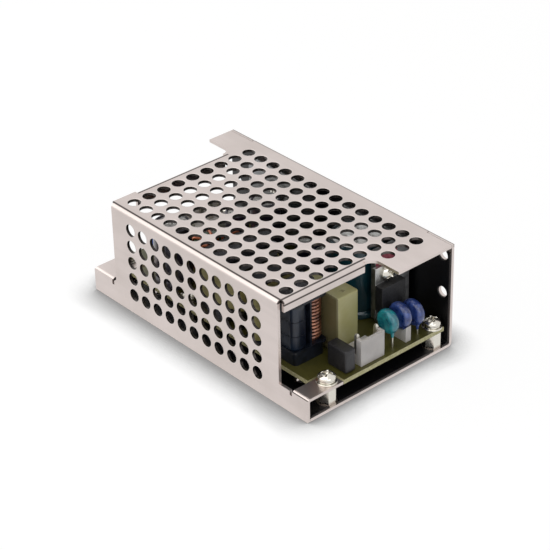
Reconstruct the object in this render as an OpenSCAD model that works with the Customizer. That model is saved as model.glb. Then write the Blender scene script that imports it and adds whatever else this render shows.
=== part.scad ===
// Enclosed open-frame power supply, 65 W class, on a 4 x 2 inch board.
// Frame: +Z up, X across the case (perforated wall at -X), -Y is the end with the mains header.
// The origin is the centre of the base. Inside the modules x, y, z start at the base's left front corner.

/* [Sheet metal] */
// Thickness of the folded sheet
sheet_t = 1; // [0.8:0.1:1.4]
// Inside radius of the folds
fold_r = 0.4; // [0.3:0.1:0.9]
// Height of the case
case_h = 37; // [36:0.5:44]
// Length of the case from end to end
case_l = 103.4; // [103:0.2:112]
// Width of the case over the screwed flange
case_w = 62; // [61.5:0.5:70]
// Height of the strip along the foot of the perforated wall
strip_h = 8.2; // [7.6:0.1:9.5]
// Length of the front screw tab, along the case
front_tab_l = 6.8; // [6:0.1:7.4]
// Length of the rear screw tab, along the case
rear_tab_l = 9.4; // [8:0.1:9.6]
// Reach of both screw tabs past the board's left edge
tab_reach = 7.3; // [6.5:0.1:7.5]
// Distance from the front end to the perforated wall
wall_front = 12.6; // [11.8:0.1:13.4]
// Distance from the rear end to the perforated wall
wall_rear = 11.6; // [11:0.1:13]
// Distance from the front end to the front lip
lip_front = 11.2; // [10.6:0.1:11.6]
// Distance from the rear end to the rear lip
lip_rear = 10.7; // [10.2:0.1:11.2]
// Depth of the front lip below the top
front_lip_h = 3.8; // [3:0.1:5]
// Depth of the rear lip below the top
rear_lip_h = 6.6; // [4:0.1:7]
// Width of the front corner of the top that reaches out over the header end
front_wing_w = 22.6; // [20:0.2:25]
// Width of the rear corner of the top that reaches out
rear_wing_w = 9.4; // [8:0.2:14]
// Radius in the corners between the wings and the top
wing_r = 3.2; // [1.5:0.1:4]
// Depth of the flange that laps over the solid wall
flange_h = 9; // [7:0.5:10]
// Distance from each end to the flange
flange_end = 10.8; // [9:0.2:13]

/* [Perforation] */
// Diameter of the vent holes
vent_d = 4.4; // [3:0.1:4.8]
// Spacing of the vent holes
vent_pitch = 6; // [5.6:0.1:7.5]
// Least distance from an edge of the top to the first hole centre
vent_margin = 3.9; // [3.4:0.1:5]
// Distance from the top down to the first row of holes in the wall
wall_vent_top = 5.9; // [4.8:0.1:7]
// Height of the lowest row that the wall may hold
wall_vent_low = 6.6; // [6:0.1:7]

/* [Board] */
// Length of the circuit board
board_l = 101.6; // [101:0.2:110]
// Width of the circuit board
board_w = 50.8; // [50.8:0.1:51.6]
// Thickness of the circuit board
board_t = 1.6; // [1:0.1:1.8]
// Gap between the front end of the case and the board
board_y = 0.7; // [0.4:0.1:0.9]
// Gap between the solid wall and the board
wall_gap = 1.9; // [1.5:0.1:2.2]
// Height of the board's underside
board_z = 6.4; // [6:0.1:7]
// Distance of the fixing holes from the edges of the board
hole_inset = 2.6; // [2.5:0.1:3]
// Clearance hole for the M3 screws
screw_clear_d = 3.4; // [3.2:0.1:3.6]
// Width across flats of the hexagonal standoffs
standoff_af = 5; // [4.6:0.1:5.2]
// Clearance between the screw tabs and the notches in the board
notch_gap = 1; // [0.6:0.1:1.2]

/* [Mounting holes] */
// Diameter of the holes in the solid wall
side_hole_d = 3.5; // [3:0.1:4]
// Distance of those holes from the ends
side_hole_end = 3.3; // [3:0.1:5]
// Height of the lower pair
side_hole_low = 19; // [16:0.5:21]
// Distance from the top down to the upper pair
side_hole_drop = 4.6; // [4:0.1:7]
// Diameter of the tapped holes in the base
base_hole_d = 3; // [2.5:0.1:3.5]
// Distance of the base holes from the ends
base_hole_end = 17; // [15:0.5:19]
// Distance between the two lines of base holes
base_hole_span = 36; // [30:0.5:40]

// Distance from the ends to the screws of the flange
flange_screw_end = 30; // [20:1:45]

/* [Parts on the board] */
// Clearance between the tallest parts and the top
headroom = 1.6; // [1:0.1:4]
// Diameter of the mains reservoir capacitor
bulk_d = 18; // [15:0.5:18]
// Diameter of the first output capacitor
output_cap_d = 12.5; // [10:0.5:12.5]
// Height of the film capacitor across the line
film_cap_h = 20.4; // [16:0.2:21]
// Length of the flat heat sink of the output rectifier
output_sink_l = 32; // [24:1:36]
// Length of the side leg of the heat sink of the transistor
side_leg_l = 30; // [20:1:34]
// Thickness of the aluminium heat sinks
heatsink_t = 2; // [1.5:0.1:2.2]
// Distance between the pins of the mains header
input_pitch = 7.92; // [7.8:0.02:8]
// Distance between the pins of the output header
output_pitch = 3.96; // [3.9:0.02:4]
// Number of pins in the output header
output_pins_n = 6; // [2:1:6]
// Diameter of the varistor
varistor_d = 8.2; // [7:0.1:9]
// Outside diameter of the output choke ring
ring_d = 17; // [15:0.5:17]

/* [Hidden] */
$fn = 48;

// Places worked out from the sizes above
outer_r = sheet_t + fold_r;
wall_in = case_w - 2 * sheet_t;         // inner face of the solid wall
wall_out = case_w - sheet_t;            // outer face of the solid wall
top_in = case_h - sheet_t;              // underside of the top
seam_gap = 0.1;                         // gap at the seams between the two sheets
wing_right = wall_in - seam_gap;
board_x = wall_in - wall_gap - board_w;
tab_end = board_x + tab_reach;
side_hole_high = case_h - side_hole_drop;
front_wing_x = wing_right - front_wing_w;
rear_wing_x = wing_right - rear_wing_w;
rear_edge = case_l - lip_rear;
wall_end = case_l - wall_rear;
lip_right = front_wing_x - wing_r;      // right end of the front lip
rear_lip_x = 10.5;                      // left end of the rear lip
rear_lip_right = rear_wing_x - wing_r;
relief_w = 1;                           // width of the slots beside the tabs
relief_h = 1.5;                         // depth of those slots
cut = 0.5;                              // how far a cutter runs past a face

// Screws and standoffs
screw_d = 2.9;
tapped_d = 3;
head_d = 5.6;
head_h = 2.1;
washer_d = 6.6;
washer_t = 0.5;
spring_d = 5.4;
spring_t = 0.8;
countersunk_d = 5.6;                    // head of a flange screw, flush with the flange
tab_hole_x = tab_end - 3.55;
tab_hole_end = 3.5;
board_hole_x = board_x + board_w - hole_inset;
board_hole_front = board_y + hole_inset;
board_hole_rear = board_y + board_l - hole_inset;
middle_hole_x = board_x + 3.75;
middle_hole_y = board_y + 66.3;
board_holes = [[board_hole_x, board_hole_front], [board_hole_x, board_hole_rear],
               [middle_hole_x, middle_hole_y]];
tab_holes = [[tab_hole_x, tab_hole_end], [tab_hole_x, case_l - tab_hole_end]];
flange_hole_z = case_h - flange_h / 2 - 0.8;
flange_hole_y = [flange_screw_end, case_l - flange_screw_end];
liner_t = 0.4;
liner_gap = 1;                          // liner's distance from standoffs and edges
rivet_d = 4.2;                          // spigot of a standoff, pressed into the base

// Vent pattern
vent_left = 6;                          // first column from the perforated wall's face
vent_rear = 5.3;                        // first row from the rear edge of the top
wall_vent_side = 9.4;                   // first column from the wall's rear edge
vent_columns = floor((wall_in - vent_margin - vent_left) / vent_pitch);
vent_rows = floor((rear_edge - vent_rear - vent_margin) / vent_pitch);
wall_vent_columns = floor((wall_end - wall_front - 2 * wall_vent_side) / vent_pitch);
wall_vent_rows = floor((case_h - wall_vent_top - wall_vent_low) / vent_pitch);

// Places on the board, from its left front corner and its top
board_top = board_z + board_t;
tall_h = top_in - board_top - headroom;
notch_u = tab_reach + notch_gap;        // width of the notches
front_notch_v = front_tab_l + notch_gap - board_y;
rear_notch_v = board_y + board_l - (case_l - rear_tab_l - notch_gap);
heatsink_u = board_w - 0.2 - heatsink_t;
heatsink_v = 15.3;                      // front face of the primary heat sink
heatsink_foot = 2;                      // height of the heat sinks' feet
transistor_u = heatsink_u - 9.3;
transistor_hole = tall_h - 7.6;         // height of the transistor's screw
front_leg_l = 14.8;                     // front leg of the primary heat sink
pad_size = [8.8, 19];
pad_at = [heatsink_u - 8.2, transistor_hole - 3];
pad_t = 0.3;
tab_t = 1.3;                            // metal tab of a power device
bulk_u = heatsink_u - 0.4 - bulk_d / 2;
bulk_v = heatsink_v + heatsink_t + 1 + bulk_d / 2;
header_d = 8.5;
header_base_h = 3.2;
header_h = 8.8;
header_ear = 0.3;                       // rise of the locking wall's two ends
pin_v = 2.9;                            // from the locking wall's face to the pins
pin_h = 10.3;
header_edge = 1.3;                      // from the board's edge to a header
input_header_w = input_pitch + 1.8;
input_header_u = notch_u + 8.3;
output_header_w = (output_pins_n - 1) * output_pitch + 3.9;
output_header_u = board_w - 6.8 - output_header_w;
output_header_v = board_l - header_edge - header_d;
pin_w = 1.14;
film_cap = [8.8, 19];
film_cap_at = [notch_u + 7.1, 10.5];
fuse_size = [4.2, 8.4, 8];
fuse_at = [notch_u + 1.9, 1.3];
disc_t = 3.5;
disc_v = 5.3;
disc_d = 8.8;
disc_u = [board_w - 15.7, board_w - 10.1];
disc_w = [8, 6.7];                      // heights of their centres
varistor_u = board_w - 20.9;
varistor_w = 8.1;
spacer_size = [2.2, 7.4, 5.6];
choke_at = [8.2, 20.8];                 // centre of the line choke
choke_leg = 3.1;
choke_pitch = 6.8;                      // between the two windings
choke_half = (choke_pitch + choke_leg) / 2;  // half the length of the core's bars
choke_coil = [6.1, 11.6];
choke_coil_low = 5.25;
choke_wire = 1.3;
choke_bar = 3.8;
choke_turns = floor((tall_h - 2 * choke_bar - 3) / choke_wire);
filter_size = [18.6, 6.6, tall_h - 4.4];
filter_at = [1, 31];
trafo_at = [11.4, 50.8];
trafo_core = [22, 7];
trafo_leg = 2.6;
trafo_post = 6.4;
trafo_yoke = 3.8;
trafo_low = 1.2;
trafo_top = tall_h - 1.2;
trafo_coil = [16.4, 18.8];
output_cap_at = [6.7, board_l - 23.3];
output_cap_h = tall_h - 4.4;
second_cap_at = [board_w - 12.4, board_l - 32.3];
second_cap_d = 10;
third_cap_at = [board_w - 13.3, board_l - 18.7];
third_cap_d = 8;
third_cap_h = 12;
small_cap_d = [6.3, 6.3, 5];
small_cap_at = [[board_w - 8, 47], [board_w - 8, 55.5], [33, 60.5]];
small_cap_h = 11;
bridge_size = [14.6, 3.6, 11];
bridge_at = [24.5, bulk_v + bulk_d / 2 + 2.7];
chip_at = [28.5, 48];
opto_at = [24.2, 57];
safety_cap_at = [24.4, 51];
safety_cap_d = 9;
safety_cap_w = 7.4;
resistor_at = [[28.8, 46], [board_w - 10, 61.6], [29.2, 66], [18.4, 65.6], [13, 62.4],
               [28, board_l - 13.2]];
trimmer_at = [12, board_l - 9];
trimmer_w = 6.6;
led_at = [10.6, board_l - 14];
led_d = 3;
ring_at = [24, board_l - 25.3];
ring_h = 7;
ring_hole = 9;
ring_low = 1.3;
ring_turns = 14;
ring_wire = 1;
rectifier_v = board_l - 28.3;

// ---------- shapes that several parts share ----------

// Moves board parts from the board's corner into the case
module on_board() {
    translate([board_x, board_y, board_top]) children();
}

// Moves everything from the base's corner to the centre of the base
module placed() {
    translate([-case_w / 2, -case_l / 2, 0]) children();
}

// Profile of a sheet that rises to height h and folds over into a flat of length w
module fold_profile(w, h, t = sheet_t, r = fold_r) {
    square([t, h - t - r]);
    translate([t + r, h - t]) square([w - t - r, t]);
    translate([t + r, h - t - r]) intersection() {
        difference() {
            circle(t + r);
            circle(r);
        }
        translate([-t - r, 0]) square(t + r);
    }
}

// Rectangle with round corners, centred
module round_rect(w, l, r) {
    square([w - 2 * r, l], center = true);
    square([w, l - 2 * r], center = true);
    for (sx = [-1, 1], sy = [-1, 1])
        translate([sx * (w / 2 - r), sy * (l / 2 - r)]) circle(r);
}

// A profile drawn in X and Z, carried along Y from y0 to y1
module along_y(y0, y1) {
    translate([0, y1, 0]) rotate([90, 0, 0]) linear_extrude(y1 - y0) children();
}

// A profile drawn in Y and Z, carried along X from x0 to x1
module along_x(x0, x1) {
    translate([x0, 0, 0]) rotate([90, 0, 90]) linear_extrude(x1 - x0) children();
}

// Pan head screw that points down, its head seated at z = 0
module pan_screw(length) {
    difference() {
        rotate_extrude() union() {
            square([head_d / 2, head_h * 0.55]);
            intersection() {
                translate([0, head_h - head_d]) circle(head_d, $fn = 64);
                translate([0, head_h * 0.5]) square([head_d / 2, head_h]);
            }
        }
        for (a = [0, 90])
            rotate(a) translate([-1.6, -0.35, head_h * 0.45]) cube([3.2, 0.7, head_h]);
    }
    translate([0, 0, -length]) cylinder(d = screw_d, h = length + 0.1);
}

module washer(d, t) {
    difference() {
        cylinder(d = d, h = t);
        translate([0, 0, -cut]) cylinder(d = screw_d + 0.3, h = t + 2 * cut);
    }
}

// Screw with a flat and a spring washer under its head
module washered_screw(length) {
    washer(washer_d, washer_t);
    translate([0, 0, washer_t]) washer(spring_d, spring_t);
    translate([0, 0, washer_t + spring_t]) pan_screw(length + washer_t + spring_t);
}

// Standoff pressed into the base: hexagonal body, round spigot and a tapped bore
module standoff(top) {
    difference() {
        union() {
            translate([0, 0, sheet_t])
                cylinder(d = standoff_af / cos(30), h = top - sheet_t, $fn = 6);
            cylinder(d = rivet_d, h = sheet_t + 0.1);
        }
        translate([0, 0, -cut]) cylinder(d = tapped_d, h = top + 2 * cut);
    }
}

// Round wire lead that stands on the board
module lead(at, h, d = 0.7) {
    translate([at[0], at[1], 0]) cylinder(d = d, h = h);
}

// ---------- case ----------

// Flat of the top, seen from above
module top_plan() {
    translate([outer_r, lip_front + outer_r])
        square([case_w - 2 * outer_r, rear_edge - lip_front - 2 * outer_r]);
    // beside the front lip and on to the front wing
    translate([lip_right, lip_front]) square([wing_right - lip_right, 2 * outer_r]);
    translate([front_wing_x, 0]) square([front_wing_w, lip_front + outer_r]);
    translate([front_wing_x - wing_r, lip_front - wing_r]) difference() {
        square(wing_r + 0.1);
        circle(wing_r);
    }
    // beside the rear lip and on to the rear wing
    translate([outer_r, rear_edge - 2 * outer_r]) square([rear_lip_x - outer_r, 2 * outer_r]);
    translate([rear_lip_right, rear_edge - 2 * outer_r])
        square([wing_right - rear_lip_right, 2 * outer_r]);
    translate([rear_wing_x, rear_edge - outer_r]) square([rear_wing_w, case_l - rear_edge + outer_r]);
    translate([rear_wing_x - wing_r, rear_edge + wing_r]) difference() {
        translate([0, -wing_r]) square(wing_r + 0.1);
        circle(wing_r);
    }
    // under the fold of the flange, which ends short of the wings' ends
    translate([wing_right - 1, flange_end]) square([case_w - outer_r - wing_right + 1, 2 * outer_r]);
    translate([wing_right - 1, case_l - flange_end - 2 * outer_r])
        square([case_w - outer_r - wing_right + 1, 2 * outer_r]);
}

// One vent hole's centres in the top: a full grid, plus the rows on the front wing
top_vents = [for (i = [0:vent_columns], j = [0:vent_rows])
    let (x = vent_left + i * vent_pitch, y = rear_edge - vent_rear - j * vent_pitch)
    if (y >= vent_margin + (x >= front_wing_x + vent_margin ? 0 : lip_front)) [x, y]];
wall_vents = [for (i = [0:wall_vent_columns], j = [0:wall_vent_rows])
    [wall_end - wall_vent_side - i * vent_pitch, case_h - wall_vent_top - j * vent_pitch]];

// Perforated top and side folded from one sheet, with its lips, tabs and screwed flange
module cover() {
    color([0.80, 0.77, 0.74]) placed() difference() {
        union() {
            translate([0, 0, top_in]) linear_extrude(sheet_t) top_plan();
            // perforated wall with its fold, and the strip along its foot
            along_y(wall_front, wall_end) fold_profile(outer_r + 0.1, case_h);
            along_y(0, case_l) square([sheet_t, strip_h - fold_r]);
            // screw tabs folded in from the strip
            along_y(0, front_tab_l) fold_profile(tab_end, strip_h);
            along_y(case_l - rear_tab_l, case_l) fold_profile(tab_end, strip_h);
            // front and rear lips folded down from the top
            translate([0, lip_front, case_h - front_lip_h])
                along_x(outer_r, lip_right) fold_profile(outer_r + 0.1, front_lip_h);
            translate([0, rear_edge, case_h - rear_lip_h]) mirror([0, 1, 0])
                along_x(rear_lip_x, rear_lip_right) fold_profile(outer_r + 0.1, rear_lip_h);
            // flange over the solid wall
            translate([case_w, 0, case_h - flange_h]) mirror([1, 0, 0])
                along_y(flange_end, case_l - flange_end) fold_profile(outer_r + 0.1, flange_h);
        }
        for (p = top_vents)
            translate([p[0], p[1], top_in - cut]) cylinder(d = vent_d, h = sheet_t + 2 * cut);
        for (p = wall_vents)
            translate([-cut, p[0], p[1]]) rotate([0, 90, 0]) cylinder(d = vent_d, h = sheet_t + 2 * cut);
        for (p = tab_holes)
            translate([p[0], p[1], strip_h - sheet_t - cut])
                cylinder(d = screw_clear_d, h = sheet_t + 2 * cut);
        // countersunk holes of the flange screws
        for (y = flange_hole_y) translate([wall_out, y, flange_hole_z]) rotate([0, 90, 0]) {
            cylinder(d1 = countersunk_d - 2 * sheet_t, d2 = countersunk_d, h = sheet_t);
            translate([0, 0, -cut]) cylinder(d = countersunk_d - 2 * sheet_t, h = sheet_t);
        }
        // slots that let the tabs fold
        for (y = [front_tab_l, case_l - rear_tab_l - relief_w])
            translate([-cut, y, strip_h - fold_r - relief_h])
                cube([sheet_t + 2 * cut, relief_w, relief_h + cut]);
    }
}

// Base and solid wall folded from one sheet
module chassis() {
    color([0.72, 0.71, 0.70]) placed() difference() {
        along_y(0, case_l) translate([wall_out, case_h]) rotate(180)
            fold_profile(wall_out - sheet_t - seam_gap, case_h);
        // the wall is lower where the cover folds over it
        translate([wall_in - cut, flange_end - 3 * seam_gap, top_in - fold_r])
            cube([sheet_t + 2 * cut, case_l - 2 * flange_end + 6 * seam_gap, sheet_t + fold_r + cut]);
        for (p = concat(board_holes, tab_holes))
            translate([p[0], p[1], -cut]) cylinder(d = rivet_d, h = sheet_t + 2 * cut);
        for (sx = [-1, 1], y = [base_hole_end, case_l - base_hole_end])
            translate([case_w / 2 + sx * base_hole_span / 2, y, -cut])
                cylinder(d = base_hole_d, h = sheet_t + 2 * cut);
        for (z = [side_hole_low, side_hole_high], y = [side_hole_end, case_l - side_hole_end])
            translate([wall_in - cut, y, z]) rotate([0, 90, 0])
                cylinder(d = side_hole_d, h = sheet_t + 2 * cut);
        for (y = flange_hole_y)
            translate([wall_in - cut, y, flange_hole_z]) rotate([0, 90, 0])
                cylinder(d = tapped_d, h = sheet_t + 2 * cut);
    }
}

// Black insulating film on the base and the solid wall
module insulating_liner() {
    liner_w = wall_in - sheet_t - liner_gap;
    liner_h = top_in - 2 * liner_gap - sheet_t;
    color([0.07, 0.07, 0.08]) placed() difference() {
        along_y(liner_gap / 2, case_l - liner_gap / 2)
            translate([wall_in, sheet_t + liner_h]) rotate(180)
                fold_profile(liner_w, liner_h, liner_t, fold_r + 0.2);
        for (p = concat(board_holes, tab_holes))
            translate([p[0], p[1], 0]) cylinder(d = standoff_af / cos(30) + liner_gap, h = 3);
        for (sx = [-1, 1], y = [base_hole_end, case_l - base_hole_end])
            translate([case_w / 2 + sx * base_hole_span / 2, y, 0])
                cylinder(d = base_hole_d + 2 * liner_gap, h = 3);
        for (z = [side_hole_low, side_hole_high], y = [side_hole_end, case_l - side_hole_end])
            translate([wall_in - 3, y, z]) rotate([0, 90, 0])
                cylinder(d = side_hole_d + liner_gap / 2, h = 4);
        for (y = flange_hole_y)
            translate([wall_in - 3, y, flange_hole_z]) rotate([0, 90, 0])
                cylinder(d = head_d + liner_gap, h = 4);
    }
}

// Circuit board with notches at its left corners for the tabs
module circuit_board() {
    color([0.62, 0.60, 0.38]) placed() difference() {
        translate([board_x, board_y, board_z]) linear_extrude(board_t) difference() {
            square([board_w, board_l]);
            translate([-cut, -cut]) square([notch_u + cut, front_notch_v + cut]);
            translate([-cut, board_l - rear_notch_v]) square([notch_u + cut, rear_notch_v + cut]);
        }
        for (p = board_holes)
            translate([p[0], p[1], board_z - cut]) cylinder(d = screw_clear_d, h = board_t + 2 * cut);
    }
}

// ---------- fixings ----------

module board_standoffs() {
    color([0.75, 0.72, 0.65]) placed()
        for (p = board_holes) translate([p[0], p[1], 0]) standoff(board_z);
}

module tab_standoffs() {
    color([0.75, 0.72, 0.65]) placed()
        for (p = tab_holes) translate([p[0], p[1], 0]) standoff(strip_h - sheet_t);
}

module board_screws() {
    color([0.80, 0.80, 0.78]) placed()
        for (p = board_holes) translate([p[0], p[1], board_top]) washered_screw(board_top - sheet_t - 1);
}

module tab_screws() {
    color([0.80, 0.80, 0.78]) placed()
        for (p = tab_holes) translate([p[0], p[1], strip_h]) washered_screw(strip_h - sheet_t - 1);
}

module flange_screws() {
    color([0.80, 0.80, 0.78]) placed()
        for (y = flange_hole_y) translate([case_w, y, flange_hole_z]) rotate([0, 90, 0]) difference() {
            union() {
                translate([0, 0, -sheet_t])
                    cylinder(d1 = countersunk_d - 2 * sheet_t, d2 = countersunk_d, h = sheet_t);
                translate([0, 0, -3 * sheet_t]) cylinder(d = screw_d, h = 2.5 * sheet_t);
            }
            for (a = [0, 90])
                rotate(a) translate([-1.5, -0.3, -0.7]) cube([3, 0.6, sheet_t]);
        }
}

// ---------- headers and fuse ----------

// White wafer header: a base, a tall locking wall with short returns, and square pin holes.
// The locking wall stands at v = 0 and the base runs towards +Y
module header(w, pitch, n) {
    wall_t = 1.1;
    difference() {
        union() {
            cube([w, header_d, header_base_h]);
            cube([w, wall_t, header_h]);
            for (x = [0, w - wall_t]) translate([x, 0, 0]) cube([wall_t, 2.2, header_h + header_ear]);
        }
        for (i = [0:n - 1])
            translate([header_pin(w, pitch, n, i) - pin_w / 2, pin_v - pin_w / 2, -cut])
                cube([pin_w, pin_w, header_h + header_ear + 2 * cut]);
    }
}

function header_pin(w, pitch, n, i) = w / 2 + (i - (n - 1) / 2) * pitch;

module header_pins(w, pitch, n) {
    for (i = [0:n - 1])
        translate([header_pin(w, pitch, n, i) - pin_w / 2, pin_v - pin_w / 2, 0])
            cube([pin_w, pin_w, pin_h]);
}

module input_header() {
    color([0.90, 0.89, 0.86]) placed() on_board()
        translate([input_header_u, header_edge, 0]) header(input_header_w, input_pitch, 2);
}

module input_pins() {
    color([0.82, 0.81, 0.78]) placed() on_board()
        translate([input_header_u, header_edge, 0]) header_pins(input_header_w, input_pitch, 2);
}

module output_header() {
    color([0.90, 0.89, 0.86]) placed() on_board()
        translate([output_header_u, output_header_v + header_d, 0]) mirror([0, 1, 0])
            header(output_header_w, output_pitch, output_pins_n);
}

module output_pins() {
    color([0.82, 0.81, 0.78]) placed() on_board()
        translate([output_header_u, output_header_v + header_d, 0]) mirror([0, 1, 0])
            header_pins(output_header_w, output_pitch, output_pins_n);
}

// Radial fuse in a rectangular black case
module input_fuse() {
    color([0.14, 0.14, 0.15]) placed() on_board()
        translate([fuse_at[0] + fuse_size[0] / 2, fuse_at[1] + fuse_size[1] / 2, 0]) {
            translate([0, 0, 0.4]) linear_extrude(fuse_size[2] - 0.4)
                round_rect(fuse_size[0], fuse_size[1], 0.6);
            for (s = [-1, 1]) lead([0, s * 2.54], 0.5, 0.8);
        }
}

// ---------- capacitors ----------

// Boxed film capacitor across the line, on four small feet
module film_capacitor() {
    color([0.72, 0.70, 0.42]) placed() on_board()
        translate([film_cap_at[0] + film_cap[0] / 2, film_cap_at[1] + film_cap[1] / 2, 0]) {
            translate([0, 0, 0.6]) linear_extrude(film_cap_h - 0.6)
                round_rect(film_cap[0], film_cap[1], 0.7);
            for (sx = [-1, 1], sy = [-1, 1])
                translate([sx * (film_cap[0] / 2 - 1.5), sy * (film_cap[1] / 2 - 1.5), 0])
                    cylinder(d = 1.4, h = 0.7);
        }
}

// Coated disc on two leads, its flat sides facing left and right
module disc_part(d, t) {
    edge = t * 0.4;
    rotate([0, 90, 0]) rotate_extrude() union() {
        square([d / 2 - edge, t]);
        translate([0, edge]) square([d / 2, t - 2 * edge]);
        for (y = [edge, t - edge]) translate([d / 2 - edge, y]) circle(edge);
    }
}

module disc_leads(u, t, w) {
    for (s = [-1, 1]) lead([u + t / 2 + s * 0.5, disc_v + s * 2.5], w, 0.7);
}

module varistor() {
    color([0.10, 0.45, 0.50]) placed() on_board() {
        translate([varistor_u, disc_v, varistor_w]) disc_part(varistor_d, disc_t);
        disc_leads(varistor_u, disc_t, varistor_w);
    }
}

module disc_capacitors() {
    color([0.14, 0.25, 0.55]) placed() on_board()
        for (i = [0, 1]) {
            translate([disc_u[i], disc_v, disc_w[i]]) disc_part(disc_d, disc_t);
            disc_leads(disc_u[i], disc_t, disc_w[i]);
        }
}

// White spacer on the leads of the first disc capacitor, hollowed to cradle its edge
module capacitor_spacer() {
    color([0.88, 0.90, 0.84]) placed() on_board()
        translate([disc_u[0] + (disc_t - spacer_size[0]) / 2, disc_v, 0]) difference() {
            translate([0, -spacer_size[1] / 2, 0]) cube(spacer_size);
            translate([-cut, 0, disc_w[0]]) rotate([0, 90, 0])
                cylinder(d = disc_d + 0.2, h = spacer_size[0] + 2 * cut);
            for (s = [-1, 1])
                translate([spacer_size[0] / 2 + s * 0.5, s * 2.5, -cut])
                    cylinder(d = 0.8, h = spacer_size[2] + 2 * cut);
        }
}

// Round electrolytic can in its sleeve: crimp groove, rolled rim and a scored vent in the top
module can(d, h) {
    r = d / 2;
    rim = 0.9;
    score = d * 0.28;
    difference() {
        rotate_extrude() difference() {
            union() {
                translate([0, 0.3]) square([r - 0.6, h - 0.3]);
                translate([0, 0.9]) square([r, h - 1.5]);
                translate([r - 0.6, 0.9]) circle(0.6);
                translate([r - 0.6, h - 0.6]) circle(0.6);
                square([r - 1.4, 1]);
            }
            translate([r + 0.35, 2.9]) circle(0.8);
            translate([0, h - 0.35]) square([r - rim, 1]);
        }
        for (a = [45, 135]) translate([0, 0, h - 0.6]) rotate(a)
            translate([-score, -0.15, 0]) cube([2 * score, 0.3, 1]);
    }
}

module bulk_capacitor() {
    color([0.05, 0.22, 0.26]) placed() on_board()
        translate([bulk_u, bulk_v, 0]) can(bulk_d, tall_h);
}

module output_capacitors() {
    color([0.24, 0.22, 0.28]) placed() on_board() {
        translate([output_cap_at[0], output_cap_at[1], 0]) can(output_cap_d, output_cap_h);
        translate([second_cap_at[0], second_cap_at[1], 0]) can(second_cap_d, output_cap_h);
        translate([third_cap_at[0], third_cap_at[1], 0]) can(third_cap_d, third_cap_h);
    }
}

module small_capacitors() {
    color([0.10, 0.12, 0.20]) placed() on_board()
        for (i = [0:2])
            translate([small_cap_at[i][0], small_cap_at[i][1], 0]) can(small_cap_d[i], small_cap_h);
}

// ---------- wound parts ----------

// Closed rectangular ferrite core, standing across the board
module line_choke_core() {
    low = 0.4;
    high = tall_h - 0.4;
    half = choke_half;
    color([0.16, 0.17, 0.20]) placed() on_board() translate([choke_at[0], choke_at[1], 0]) {
        for (z = [low, high - choke_bar]) translate([-half, -2.6, z]) cube([2 * half, 5.2, choke_bar]);
        for (s = [-1, 1])
            translate([s * choke_pitch / 2 - choke_leg / 2, -2.6, low]) cube([choke_leg, 5.2, high - low]);
    }
}

// Space inside a coil for the core leg and the bobbin tube
module choke_tube(extra, z0, z1) {
    for (s = [-1, 1])
        translate([s * choke_pitch / 2, 0, z0]) linear_extrude(z1 - z0)
            square([choke_leg + extra, 5.2 + extra], center = true);
}

// Bobbin with end flanges, a partition between the coils and a closed foot round the core's lower bar
module line_choke_bobbin() {
    top = choke_coil_low + choke_turns * choke_wire;
    wide = 2 * choke_coil[0] + 1;
    deep = choke_coil[1] + 1.2;
    color([0.10, 0.13, 0.17]) placed() on_board() translate([choke_at[0], choke_at[1], 0]) difference() {
        union() {
            linear_extrude(choke_coil_low) round_rect(wide - 1, deep - 1, 1.5);
            translate([0, 0, choke_coil_low - 1]) linear_extrude(1) round_rect(wide, deep, 0.8);
            translate([0, 0, top + 0.1]) linear_extrude(0.8) round_rect(wide, deep, 0.8);
            translate([-0.3, -deep / 2, choke_coil_low - 1]) cube([0.6, deep, top - choke_coil_low + 1.2]);
            choke_tube(0.8, choke_coil_low - 1, top + 0.9);
        }
        choke_tube(0.1, -1, top + 2);
        // room for the lower bar of the core
        translate([-choke_half - 0.1, -2.7, -1]) cube([2 * choke_half + 0.2, 5.4, choke_bar + 1.5]);
    }
}

// Two coils of enamelled wire, laid turn on turn
module line_choke_windings() {
    color([0.72, 0.36, 0.20]) placed() on_board() translate([choke_at[0], choke_at[1], choke_coil_low])
        for (s = [-1, 1]) translate([s * (choke_pitch / 2 + 0.02), 0, 0]) difference() {
            union() {
                linear_extrude(choke_turns * choke_wire)
                    round_rect(choke_coil[0] - 0.6, choke_coil[1] - 0.6, 2.2);
                for (i = [0:choke_turns - 1])
                    translate([0, 0, (i + 0.2) * choke_wire]) linear_extrude(choke_wire * 0.6)
                        round_rect(choke_coil[0], choke_coil[1], 2.4);
            }
            translate([-(choke_leg + 0.86) / 2, -(5.2 + 0.86) / 2, -cut])
                cube([choke_leg + 0.86, 5.2 + 0.86, choke_turns * choke_wire + 2 * cut]);
        }
}

// Taped inductor behind the line choke, between a base and a top cheek
module filter_inductor() {
    color([0.78, 0.72, 0.40]) placed() on_board()
        translate([filter_at[0] + filter_size[0] / 2, filter_at[1] + filter_size[1] / 2, 0]) {
            for (z = [0, filter_size[2] - 1.2])
                translate([0, 0, z]) linear_extrude(1.2) round_rect(filter_size[0], filter_size[1], 1);
            translate([0, 0, 1]) linear_extrude(filter_size[2] - 2)
                round_rect(filter_size[0] - 1, filter_size[1] - 0.8, 2.4);
        }
}

// Ferrite core of the transformer: two yokes, two outer legs and a middle post
module transformer_core() {
    span = trafo_core[0] / 2;
    color([0.30, 0.28, 0.32]) placed() on_board() translate([trafo_at[0], trafo_at[1], 0]) {
        for (z = [trafo_low, trafo_top - trafo_yoke])
            translate([-span, -trafo_core[1] / 2, z]) cube([trafo_core[0], trafo_core[1], trafo_yoke]);
        for (x = [-span, -trafo_post / 2, span - trafo_leg])
            translate([x, -trafo_core[1] / 2, trafo_low])
                cube([x == -trafo_post / 2 ? trafo_post : trafo_leg, trafo_core[1], trafo_top - trafo_low]);
    }
}

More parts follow.
